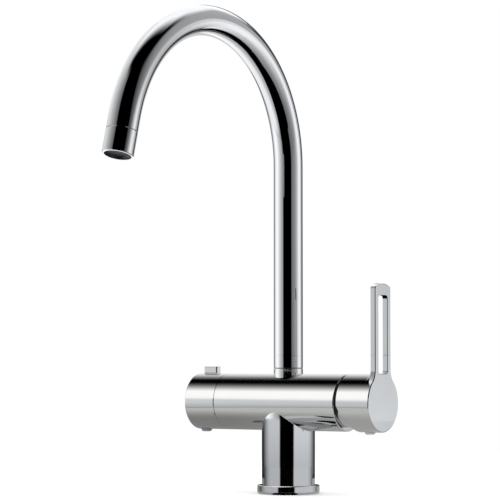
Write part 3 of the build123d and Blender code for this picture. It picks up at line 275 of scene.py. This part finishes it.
paper, tree, place = new_material("pale_paper")
matt = add(tree, "ShaderNodeBsdfPrincipled", {"Base Color": linear("#F8F8F7"), "Roughness": PAPER_ROUGHNESS})
clear = add(tree, "ShaderNodeBsdfTransparent")
distance = distance_from_axis(tree, place)
fade = add(tree, "ShaderNodeMapRange", {0: distance, 1: FADE_STARTS, 2: FADE_ENDS}, **SOFT)
sheet = add(tree, "ShaderNodeMixShader", {0: fade, 1: matt, 2: clear})
add(tree, "ShaderNodeOutputMaterial", {"Surface": sheet})

floor = stage_mesh("floor", circle(FLOOR_RADIUS, FLOOR_LEVEL), [range(CIRCLE_POINTS)], paper)
floor.visible_glossy = False
print("floor radius", FLOOR_RADIUS, "m")

# %% [markdown]
# The table top gives off its own light, so that nothing on the stage can shade it. Its levels are painted
# shade of the tap on the floor: it is darkest at the back on the left and lightest in front. Close in front
# of the foot it has a painted black patch, which carries the black stripe of the column down to the base
# ring.

# %% Lay the table top that the chrome mirrors
TABLE_RADIUS = 0.25
TABLE_LEVEL = -0.1 * MM
DARK_PATCH_RADIUS = 0.036
PATCH_EDGE = 0.003
LEVEL_IN_FRONT = 0.82

table_glow_with_painted_shade, tree, place = new_material("table_top_with_painted_shade")
on_table = add(tree, "ShaderNodeSeparateXYZ", {0: place}).outputs
angle = round_the_tap(tree, place)[1]
distance = distance_from_axis(tree, place)
# Painted shade: the level falls towards the back and the left, and a black patch is painted in front of the
# foot.
table_steps = {
    "past_patch": (distance, DARK_PATCH_RADIUS - PATCH_EDGE, DARK_PATCH_RADIUS + PATCH_EDGE, 0.0, 1.0),
    "left_of_patch": (angle, -30.0, -36.0, 0.0, 1.0),
    "right_of_patch": (angle, 14.0, 20.0, 0.0, 1.0),
    "painted_shade_at_back": (on_table["X"], -0.10, 0.05, 0.34, 0.56),
}
on = {
    name: add(tree, "ShaderNodeMapRange", dict(enumerate(line)), **SOFT)
    for name, line in table_steps.items()
}
beside = add(tree, "ShaderNodeMath", {0: on["left_of_patch"], 1: on["right_of_patch"]}, operation="ADD")
off_patch = add(tree, "ShaderNodeMath", {0: beside, 1: on["past_patch"]}, operation="MAXIMUM")
to_front = dict(enumerate([on_table["Y"], -0.03, -0.13, on["painted_shade_at_back"], LEVEL_IN_FRONT]))
level = add(tree, "ShaderNodeMapRange", to_front, **SOFT)
lit = add(tree, "ShaderNodeMath", {0: level, 1: off_patch}, operation="MULTIPLY")
glowing = add(tree, "ShaderNodeEmission", {"Color": linear("#FFFDF7"), "Strength": lit})
add(tree, "ShaderNodeOutputMaterial", {"Surface": glowing})

table_top = stage_mesh("table_top", circle(TABLE_RADIUS, TABLE_LEVEL), [range(CIRCLE_POINTS)], table_glow_with_painted_shade)
only_mirrored(table_top)
print("table radius", TABLE_RADIUS, "m")

# %% [markdown]
# A low grey rim stands at the table's edge, darker at its foot and lighter at its top. The column looks
# straight at it, so its sides are a calm grey, while the arch is so far above that the rim is only a thin
# line there.

# %% Stand a low rim at the table's edge
RIM_TOP = 0.057
RIM_FOOT = -0.01
RIM_SIDES = [
    [(-140.0, -80.0, 0.03, 0.76), (-34.5, -41.0, 0.0, 1.0)],
    [(145.0, 85.0, 0.05, 0.88), (17.0, 24.0, 0.0, 1.0)],
]


def rim_light(tree, angle):
    """Grey sides that darken towards the back, and black in front."""
    both = []
    for steps in RIM_SIDES:
        lines = [dict(enumerate([angle, *step])) for step in steps]
        fade, edge = [add(tree, "ShaderNodeMapRange", line, **SOFT) for line in lines]
        both.append(add(tree, "ShaderNodeMath", {0: fade, 1: edge}, operation="MULTIPLY"))
    return add(tree, "ShaderNodeMath", dict(enumerate(both)), operation="ADD")


def standing_ring(name, radius, low, high, start, end, material):
    """A low arc round the tap's axis, from a start to an end angle in degrees, that faces inwards."""
    turns = [math.radians(start + (end - start) * i / CIRCLE_POINTS) for i in range(CIRCLE_POINTS + 1)]
    turns = [CAMERA_AZIMUTH + turn for turn in turns]
    points = [(radius * math.sin(a), -radius * math.cos(a), z) for z in (low, high) for a in turns]
    row = len(turns)
    faces = [(i, i + row, i + row + 1, i + 1) for i in range(CIRCLE_POINTS)]
    ring = stage_mesh(name, points, faces, material)
    only_mirrored(ring)
    print(name, "radius", radius, "m, top", high, "m, faces", ring.data.polygons[0].normal[:])


grey_rim, tree, place = new_material("grey_table_rim")
up_the_rim = add(tree, "ShaderNodeSeparateXYZ", {0: place}).outputs["Z"]
lit = rim_light(tree, round_the_tap(tree, place)[1])
upwards = (up_the_rim, 0.0, RIM_TOP, 0.93, 1.24)
dark_foot = (up_the_rim, 0.001, 0.006, 0.35, 1.0)
for line in (upwards, dark_foot):
    step = add(tree, "ShaderNodeMapRange", dict(enumerate(line)), **SOFT)
    lit = add(tree, "ShaderNodeMath", {0: lit, 1: step}, operation="MULTIPLY")
glowing = add(tree, "ShaderNodeEmission", {"Color": linear("#FDFDFF"), "Strength": lit})
add(tree, "ShaderNodeOutputMaterial", {"Surface": glowing})
standing_ring("table_rim", TABLE_RADIUS, RIM_FOOT, RIM_TOP, -180.0, 180.0, grey_rim)

# %% [markdown]
# The foot of the column stands too low to see the rim, so a smaller ring close round its front and sides
# carries the same light down to the base. It is so near that the column sees each part of it less far round
# than it is, by about a fifth. It shows its inner side only.

# %% Stand a small ring round the foot
NEAR_RADIUS = 0.055
NEAR_FOOT = -0.001
NEAR_TOP = 0.021
NEAR_STRETCH = 1.22
NEAR_START, NEAR_END = -108.0, 104.0


def one_sided(tree, lit, colour):
    """A glow that shows on the face of a flat piece and is clear from behind."""
    glowing = add(tree, "ShaderNodeEmission", {"Color": linear(colour), "Strength": lit})
    clear = add(tree, "ShaderNodeBsdfTransparent")
    behind = add(tree, "ShaderNodeNewGeometry").outputs["Backfacing"]
    card = add(tree, "ShaderNodeMixShader", {0: behind, 1: glowing, 2: clear})
    add(tree, "ShaderNodeOutputMaterial", {"Surface": card})


near_look, tree, place = new_material("grey_foot_ring")
angle = round_the_tap(tree, place)[1]
stretched = add(tree, "ShaderNodeMath", {0: angle, 1: NEAR_STRETCH}, operation="MULTIPLY")
one_sided(tree, rim_light(tree, stretched), "#FDFDFF")
standing_ring("foot_ring", NEAR_RADIUS, NEAR_FOOT, NEAR_TOP, NEAR_START, NEAR_END, near_look)

# %% [markdown]
# Over the barrel hangs a card, white at the front with a black strip across it. It is what draws the broad
# white band and the dark band above it along the barrel, the hub and the knob. It is seen from below only.
# It ends just before the lever, and its right edge slants away in front, so that the root of the lever
# doesn't mirror the strip.

# %% Hang a card over the barrel
CARD_HEIGHT = 0.1045
CARD_CORNERS = [(-0.50, -0.50), (-0.50, 0.09), (0.084, 0.09), (0.084, -0.03), (-0.06, -0.50)]

strip_card, tree, place = new_material("black_and_white_card")
on_card = add(tree, "ShaderNodeSeparateXYZ", {0: place}).outputs["Y"]
card_steps = {
    "white": (on_card, -0.24, -0.065, 1.1, 1.74),
    "before_strip": (on_card, -0.018, -0.045, 0.0, 1.0),
    "behind_strip": (on_card, -0.0145, 0.0, 0.0, 1.08),
}
on = {
    name: add(tree, "ShaderNodeMapRange", dict(enumerate(line)), **SOFT)
    for name, line in card_steps.items()
}
white_front = add(tree, "ShaderNodeMath", {0: on["white"], 1: on["before_strip"]}, operation="MULTIPLY")
lit = add(tree, "ShaderNodeMath", {0: white_front, 1: on["behind_strip"]}, operation="ADD")
one_sided(tree, lit, "#FFFDF8")

corners = [(x, y, CARD_HEIGHT) for x, y in CARD_CORNERS]
card_over_barrel = stage_mesh("card_over_barrel", corners, [range(len(corners))], strip_card)
only_mirrored(card_over_barrel)
print("card faces", card_over_barrel.data.polygons[0].normal[:])

# %% [markdown]
# The inside of the arch looks down. Without help it would mirror the table, the barrel and the lever, and
# its black band would break up. A white cloth with a black strip lies above them, and only the arch sees
# it. The strip runs from the back to the front under the arch and opens to the right in front of the
# barrel. Left of the strip the cloth grows brighter outwards and dimmer towards the front, and right of it
# brighter towards the back.

# %% Spread a cloth under the arch
CLOTH_HEIGHT = 0.116
CLOTH_RADIUS = 0.6
STRIP_EDGE = 0.01
STRIP_LEFT = -0.022
STRIP_RIGHT = 0.135
STRIP_OPENS_AT = -0.03
STRIP_OPENING = 1.9
STRIP_LEAN = 0.1

cloth_look, tree, place = new_material("white_cloth_with_black_strip")
on_cloth = add(tree, "ShaderNodeSeparateXYZ", {0: place}).outputs
in_front = add(tree, "ShaderNodeMath", {0: STRIP_OPENS_AT, 1: on_cloth["Y"]}, operation="SUBTRACT")
in_front = add(tree, "ShaderNodeMath", {0: in_front, 1: 0.0}, operation="MAXIMUM")
opening = add(tree, "ShaderNodeMath", {0: in_front, 1: STRIP_OPENING}, operation="MULTIPLY")
past_strip = add(tree, "ShaderNodeMath", {0: on_cloth["X"], 1: opening}, operation="SUBTRACT")
lean = add(tree, "ShaderNodeMath", {0: in_front, 1: STRIP_LEAN}, operation="MULTIPLY")
before_strip = add(tree, "ShaderNodeMath", {0: on_cloth["X"], 1: lean}, operation="ADD")
cloth_steps = {
    "left_edge": (before_strip, STRIP_LEFT + STRIP_EDGE, STRIP_LEFT - STRIP_EDGE, 0.0, 1.0),
    "outwards": (before_strip, STRIP_LEFT - 2 * STRIP_EDGE, -0.20, 0.75, 1.5),
    "far_front": (on_cloth["Y"], -0.25, -0.50, 1.0, 0.55),
    "right_edge": (past_strip, STRIP_RIGHT - 0.015, STRIP_RIGHT + 0.025, 0.0, 1.0),
    "backwards": (on_cloth["Y"], -0.15, 0.45, 0.26, 1.3),
}
on = {
    name: add(tree, "ShaderNodeMapRange", dict(enumerate(line)), **SOFT)
    for name, line in cloth_steps.items()
}
left_side = add(tree, "ShaderNodeMath", {0: on["left_edge"], 1: on["outwards"]}, operation="MULTIPLY")
left_side = add(tree, "ShaderNodeMath", {0: left_side, 1: on["far_front"]}, operation="MULTIPLY")
right_side = add(tree, "ShaderNodeMath", {0: on["right_edge"], 1: on["backwards"]}, operation="MULTIPLY")
lit = add(tree, "ShaderNodeMath", {0: left_side, 1: right_side}, operation="ADD")
one_sided(tree, lit, "#FFFFFF")

cloth = stage_mesh("cloth_under_arch", circle(CLOTH_RADIUS, CLOTH_HEIGHT), [range(CIRCLE_POINTS)], cloth_look)
only_mirrored(cloth)
print("cloth faces", cloth.data.polygons[0].normal[:])

# %% [markdown]
# One large soft lamp hangs above. The chrome doesn't mirror it; it lights the paper and the plastic pieces.

# %% Hang the soft lamp
LAMP_PLACE = (-0.2, -0.4, 1.6)
LAMP_AIM = (0.0, 0.0, 0.1)
LAMP_SIZE = 3.0
LAMP_POWER = 12.0

lamp_data = bpy.data.lights.new("soft_lamp", "AREA")
lamp_data.shape = "DISK"
lamp_data.size = LAMP_SIZE
lamp_data.energy = LAMP_POWER
lamp = bpy.data.objects.new("soft_lamp", lamp_data)
lamp.location = LAMP_PLACE
lamp.rotation_euler = (Vector(LAMP_AIM) - lamp.location).to_track_quat("-Z", "Y").to_euler()
lamp.visible_glossy = False
bpy.context.scene.collection.objects.link(lamp)
print("lamp", LAMP_POWER, "W")

# %% [markdown]
# The finishes. Each starts from the real material and how its surface was made. All of them drift between
# two tones, are a little shinier in some spots than in others, and have a fine relief. The patterns are
# soft noise, and the scale of each is one over the width of its spots. The grain of the plastics, the
# rubber and the ceramic and the tool marks on the steel are far finer in reality, and are drawn 0.3 to 0.6
# mm wide so that they can be seen.

# %% Tools that the finishes share
NOISE_LOW, NOISE_HIGH = 0.3, 0.7


def finish(name, metallic=0.0):
    """A material with a Principled shader, its tree and the object's own coordinates in metres."""
    material, tree, place = new_material(name)
    shader = add(tree, "ShaderNodeBsdfPrincipled", {"Metallic": metallic})
    add(tree, "ShaderNodeOutputMaterial", {"Surface": shader})
    return material, tree, shader, place


def dress(tree, shader, patterns, tones, gloss, depth):
    """Tones follow the first of three patterns, roughness the second, and relief the third, at a depth."""
    drift, spots, relief = patterns
    colours = {0: drift, 6: linear(tones[0]), 7: linear(tones[1])}
    colour = add(tree, "ShaderNodeMix", colours, data_type="RGBA")
    rough = add(tree, "ShaderNodeMapRange", dict(enumerate([spots, NOISE_LOW, NOISE_HIGH, *gloss])), **SOFT)
    raised = add(tree, "ShaderNodeBump", {"Height": relief, "Distance": depth})
    tree.links.new(colour.outputs[2], shader.inputs["Base Color"])
    tree.links.new(rough.outputs[0], shader.inputs["Roughness"])
    tree.links.new(raised.outputs[0], shader.inputs["Normal"])


def turning_marks(tree, place, axis, pitch):
    """The fine grooves that a lathe leaves round an axis: stripes along it, and rings on its end faces."""
    across = [0.0 if name == axis else 1.0 for name in "XYZ"]
    flat = add(tree, "ShaderNodeVectorMath", {0: place, 1: across}, operation="MULTIPLY")
    radius = add(tree, "ShaderNodeVectorMath", {0: flat}, operation="LENGTH").outputs["Value"]
    length = add(tree, "ShaderNodeSeparateXYZ", {0: place}).outputs[axis]
    both = add(tree, "ShaderNodeMath", {0: radius, 1: length}, operation="ADD")
    turns = add(tree, "ShaderNodeMath", {0: both, 1: 2 * math.pi / pitch}, operation="MULTIPLY")
    return add(tree, "ShaderNodeMath", {0: turns}, operation="SINE")


# %% [markdown]
# Chrome plate on cast and polished brass: the body, lever, knob and rings. Bright nickel and chrome follow
# every trace of the polishing, so a trained eye sees a slow ripple a few millimetres wide, called orange
# peel, and patches that are a touch less bright. Its own colour is a bluish grey, darker than people think.

# %% Polished chrome on castings
CASTING_PATCH = 18.0 * MM
ORANGE_PEEL = 5.0 * MM
PEEL_DEPTH = 0.0006 * MM
CHROME_TONES = ("#C1C4C7", "#C6C8CA")

cast_chrome, tree, shader, place = finish("chrome_plate_on_cast_brass", metallic=1.0)
patches = add(tree, "ShaderNodeTexNoise", {"Vector": place, "Scale": 1 / CASTING_PATCH})
peel = add(tree, "ShaderNodeTexNoise", {"Vector": place, "Scale": 1 / ORANGE_PEEL})
dress(tree, shader, (patches, patches, peel), tones=CHROME_TONES, gloss=(0.035, 0.06), depth=PEEL_DEPTH)
print("orange peel", round(ORANGE_PEEL / MM, 1), "mm wide on the castings")

# %% [markdown]
# Chrome plate on drawn tube: the spout and its end. Drawn tube is polished lengthwise on a wheel and comes
# out straighter and brighter than a casting.

# %% Polished chrome on the tube
TUBE_PATCH = 25.0 * MM
TUBE_RIPPLE = 8.0 * MM
TUBE_RIPPLE_DEPTH = 0.0005 * MM
TUBE_TONES = ("#C2C4C7", "#C7C9CB")

tube_chrome, tree, shader, place = finish("chrome_plate_on_drawn_tube", metallic=1.0)
patches = add(tree, "ShaderNodeTexNoise", {"Vector": place, "Scale": 1 / TUBE_PATCH})
ripple = add(tree, "ShaderNodeTexNoise", {"Vector": place, "Scale": 1 / TUBE_RIPPLE})
dress(tree, shader, (patches, patches, ripple), tones=TUBE_TONES, gloss=(0.03, 0.05), depth=TUBE_RIPPLE_DEPTH)
print("ripple", round(TUBE_RIPPLE / MM, 1), "mm wide on the tube")

# %% [markdown]
# Free-cutting brass, turned: a warm yellow metal with fine lathe grooves, duller than the chrome. The
# grooves of about 0.15 mm are drawn 0.5 mm apart so that they can be seen.

# %% Turned brass
BRASS_PATCH = 6.0 * MM
GROOVE_PITCH = 0.5 * MM
GROOVE_DEPTH = 0.004 * MM
BRASS_TONES = ("#CFAE6B", "#BF9852")


def turned_brass(name, axis):
    """Brass turned round one axis."""
    material, tree, shader, place = finish(name, metallic=1.0)
    patches = add(tree, "ShaderNodeTexNoise", {"Vector": place, "Scale": 1 / BRASS_PATCH})
    marks = turning_marks(tree, place, axis, GROOVE_PITCH)
    dress(tree, shader, (patches, patches, marks), tones=BRASS_TONES, gloss=(0.24, 0.36), depth=GROOVE_DEPTH)
    return material


brass_across = turned_brass("turned_brass_across", "X")
brass_upright = turned_brass("turned_brass_upright", "Z")
print("grooves", round(GROOVE_PITCH / MM, 1), "mm apart")

# %% [markdown]
# Stainless steel A2: screws, pin, clip and stem. Slightly warm and silky, with the marks of the cutting
# tool.

# %% Machined stainless steel
STEEL_PATCH = 3.0 * MM
TOOL_MARK = 0.4 * MM
TOOL_MARK_DEPTH = 0.003 * MM
STEEL_TONES = ("#B9B8B5", "#C8C7C4")

steel, tree, shader, place = finish("machined_stainless_steel", metallic=1.0)
patches = add(tree, "ShaderNodeTexNoise", {"Vector": place, "Scale": 1 / STEEL_PATCH})
marks = add(tree, "ShaderNodeTexNoise", {"Vector": place, "Scale": 1 / TOOL_MARK})
dress(tree, shader, (patches, patches, marks), tones=STEEL_TONES, gloss=(0.2, 0.34), depth=TOOL_MARK_DEPTH)
print("tool marks", round(TOOL_MARK / MM, 1), "mm wide")

# %% [markdown]
# EPDM rubber: the seals and O-rings. A matt near-black with a faint bloom, grained by its mould.

# %% Black seal rubber
BLOOM = 4.0 * MM
RUBBER_GRAIN = 0.3 * MM
RUBBER_GRAIN_DEPTH = 0.01 * MM
RUBBER_TONES = ("#151617", "#232425")

rubber, tree, shader, place = finish("moulded_epdm_rubber")
bloom = add(tree, "ShaderNodeTexNoise", {"Vector": place, "Scale": 1 / BLOOM})
grain = add(tree, "ShaderNodeTexNoise", {"Vector": place, "Scale": 1 / RUBBER_GRAIN, "Detail": 4.0})
dress(tree, shader, (bloom, bloom, grain), tones=RUBBER_TONES, gloss=(0.5, 0.7), depth=RUBBER_GRAIN_DEPTH)
print("rubber grain", round(RUBBER_GRAIN / MM, 1), "mm wide")

# %% [markdown]
# Acetal, moulded dark grey: the jet cage in the spout's mouth and the thin ring that the spout glides on.
# On the glide ring the dark grey is partly its own colour and partly painted shade, so that the seam where
# the spout turns reads as a dark line. A fine spark-eroded grain keeps it from shining.

# %% Dark grey moulded acetal
CAGE_CLOUD = 5.0 * MM
CAGE_GRAIN = 0.35 * MM
CAGE_GRAIN_DEPTH = 0.012 * MM
CAGE_AND_SEAM_SHADE_TONES = ("#23282B", "#2D3235")

# On the glide ring this dark grey is partly its own colour and partly painted shade in the seam.
dark_acetal_and_seam_shade, tree, shader, place = finish("dark_grey_acetal_and_painted_seam_shade")
cloud = add(tree, "ShaderNodeTexNoise", {"Vector": place, "Scale": 1 / CAGE_CLOUD})
grain = add(tree, "ShaderNodeTexNoise", {"Vector": place, "Scale": 1 / CAGE_GRAIN, "Detail": 3.0})
dress(tree, shader, (cloud, grain, grain), tones=CAGE_AND_SEAM_SHADE_TONES, gloss=(0.35, 0.5), depth=CAGE_GRAIN_DEPTH)
print("eroded grain", round(CAGE_GRAIN / MM, 2), "mm wide")

# %% [markdown]
# ABS, moulded and plated: the ring behind the lever. Its dome is chromed like the rest. The lip in the
# narrow gap to the barrel is painted black and rough: painted shade, so that the gap reads as a dark line.
# The painted shade ends at a slant, so it is wide at the top and thin at the bottom, where the dome shows
# as a light crescent. One shader is both: a step across that slanted border turns the painted black into
# metal. The border lies where the place along the barrel, less a third of the height, is 38.6 mm.

# %% Plated ring with painted shade on its lip
PAINTED_SHADE_END = 38.6 * MM
PAINTED_SHADE_SLANT = 0.33
PAINTED_SHADE_EDGE = 0.1 * MM
RING_PATCH = 12.0 * MM
PAINTED_SHADE_TONES = ("#121315", "#1C1E20")
PAINTED_SHADE_ROUGHNESS = 0.55
PLATED_ROUGHNESS = 0.06

ring_with_painted_shade, tree, shader, place = finish("plated_abs_with_painted_shade")
on_ring = add(tree, "ShaderNodeSeparateXYZ", {0: place}).outputs
lowered = add(tree, "ShaderNodeMath", {0: on_ring["Z"], 1: PAINTED_SHADE_SLANT}, operation="MULTIPLY")
along_barrel = add(tree, "ShaderNodeMath", {0: on_ring["X"], 1: lowered}, operation="SUBTRACT")
# Painted shade: below the slanted border the lip is drawn black and rough, for the shadow in the gap.
border = {0: along_barrel, 1: PAINTED_SHADE_END - PAINTED_SHADE_EDGE, 2: PAINTED_SHADE_END + PAINTED_SHADE_EDGE}
out_of_painted_shade = add(tree, "ShaderNodeMapRange", border, **SOFT)
patches = add(tree, "ShaderNodeTexNoise", {"Vector": place, "Scale": 1 / RING_PATCH})
painted_shade_colour, chromed = [
    add(tree, "ShaderNodeMix", {0: patches, 6: linear(first), 7: linear(second)}, data_type="RGBA").outputs[2]
    for first, second in (PAINTED_SHADE_TONES, CHROME_TONES)
]
colour = add(tree, "ShaderNodeMix", {0: out_of_painted_shade, 6: painted_shade_colour, 7: chromed}, data_type="RGBA")
shine = {0: out_of_painted_shade, 2: PAINTED_SHADE_ROUGHNESS, 3: PLATED_ROUGHNESS}
rough = add(tree, "ShaderNodeMix", shine, data_type="FLOAT")
peel = add(tree, "ShaderNodeTexNoise", {"Vector": place, "Scale": 1 / ORANGE_PEEL})
raised = add(tree, "ShaderNodeBump", {"Height": peel, "Distance": PEEL_DEPTH})
tree.links.new(colour.outputs[2], shader.inputs["Base Color"])
tree.links.new(out_of_painted_shade.outputs[0], shader.inputs["Metallic"])
tree.links.new(rough.outputs[0], shader.inputs["Roughness"])
tree.links.new(raised.outputs[0], shader.inputs["Normal"])
print("nodes of the plated ring:", len(tree.nodes))

# %% [markdown]
# ABS, moulded: the two small plugs that hide the grub screws. Their greys are painted reflections: blue-grey
# under the knob and a lighter grey under the lever, for what each dome mirrors. Smooth, with a soft satin
# light on the dome.

# %% Moulded ABS
PLUG_CLOUD = 3.0 * MM
PLUG_GRAIN = 0.3 * MM
PLUG_GRAIN_DEPTH = 0.006 * MM


def moulded_abs(name, tones):
    """Smooth moulded plastic between two greys."""
    material, tree, shader, place = finish(name)
    cloud = add(tree, "ShaderNodeTexNoise", {"Vector": place, "Scale": 1 / PLUG_CLOUD})
    grain = add(tree, "ShaderNodeTexNoise", {"Vector": place, "Scale": 1 / PLUG_GRAIN, "Detail": 3.0})
    dress(tree, shader, (cloud, grain, grain), tones=tones, gloss=(0.25, 0.38), depth=PLUG_GRAIN_DEPTH)
    return material


# Painted reflections: the same plug is drawn darker under the knob and lighter under the lever.
plug_with_painted_dark_reflection = moulded_abs("abs_plug_with_painted_dark_reflection", ("#666D77", "#727983"))
plug_with_painted_light_reflection = moulded_abs("abs_plug_with_painted_light_reflection", ("#9B9DA0", "#A5A7AA"))
print("plugs:", plug_with_painted_dark_reflection.name, "and", plug_with_painted_light_reflection.name)

# %% [markdown]
# Acetal, natural white: the cartridge and its guides. Milky, with a little light under the skin. Red light
# reaches a little deeper than blue.

# %% White moulded acetal
FLOW = 7.0 * MM
MOULD_GRAIN = 0.5 * MM
MOULD_GRAIN_DEPTH = 0.006 * MM
LIGHT_SHARE = 0.15
LIGHT_DEPTH = 1.0 * MM
MILK_TONES = ("#EDEBE4", "#F3F2ED")
DEPTH_BY_COLOUR = (0.9, 0.8, 0.7)

white_plastic, tree, shader, place = finish("moulded_white_acetal")
flow = add(tree, "ShaderNodeTexNoise", {"Vector": place, "Scale": 1 / FLOW})
grain = add(tree, "ShaderNodeTexNoise", {"Vector": place, "Scale": 1 / MOULD_GRAIN, "Detail": 3.0})
dress(tree, shader, (flow, flow, grain), tones=MILK_TONES, gloss=(0.32, 0.42), depth=MOULD_GRAIN_DEPTH)
shader.inputs["Subsurface Weight"].default_value = LIGHT_SHARE
shader.inputs["Subsurface Radius"].default_value = DEPTH_BY_COLOUR
shader.inputs["Subsurface Scale"].default_value = LIGHT_DEPTH
print("light reaches", round(LIGHT_DEPTH / MM, 1), "mm into the white plastic")

# %% [markdown]
# Alumina ceramic, lapped: the four control discs. Dense white with grey grains, and almost as smooth as
# glass.

# %% Lapped alumina ceramic
CERAMIC_GRAIN = 0.6 * MM
LAPPING_DEPTH = 0.001 * MM
CERAMIC_TONES = ("#E6E3DC", "#F2F0EB")

ceramic, tree, shader, place = finish("lapped_alumina_ceramic")
grains = add(tree, "ShaderNodeTexNoise", {"Vector": place, "Scale": 1 / CERAMIC_GRAIN, "Detail": 4.0})
dress(tree, shader, (grains, grains, grains), tones=CERAMIC_TONES, gloss=(0.1, 0.18), depth=LAPPING_DEPTH)
print("ceramic grains", round(CERAMIC_GRAIN / MM, 1), "mm wide")

# %% [markdown]
# Every piece now gets its finish. The pieces keep the meshes that the CAD gave them.

# %% Give each piece its finish
FINISHES = {
    cast_chrome: ["body", "base_ring", "lever_handle", "shutoff_knob"],
    tube_chrome: ["spout_tube", "aerator_housing"],
    brass_across: ["retaining_nut", "valve_headwork", "valve_spindle"],
    brass_upright: ["spout_nipple"],
    steel: ["lock_screw", "handle_screw", "knob_screw", "stem_pin", "spindle_clip", "lever_stem"],
    rubber: [
        "base_gasket", "spout_o_rings", "port_seals", "aerator_gasket", "valve_seal", "spindle_o_rings",
        "headwork_gasket",
    ],
    dark_acetal_and_seam_shade: ["aerator_cage", "glide_ring"],
    ring_with_painted_shade: ["cover_ring"],
    plug_with_painted_dark_reflection: ["knob_plug"],
    plug_with_painted_light_reflection: ["handle_plug"],
    white_plastic: [
        "cartridge_base", "cartridge_housing", "cartridge_rotor", "disc_carrier", "aerator_screen",
    ],
    ceramic: ["fixed_disc", "moving_disc", "valve_fixed_disc", "valve_turning_disc"],
}
finished = set()
for material, pieces in FINISHES.items():
    for piece in pieces:
        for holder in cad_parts[piece].material_slots:
            holder.material = material
        finished.add(piece)
    print(material.name, "on", len(pieces))
print("without a finish:", sorted(set(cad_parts) - finished))
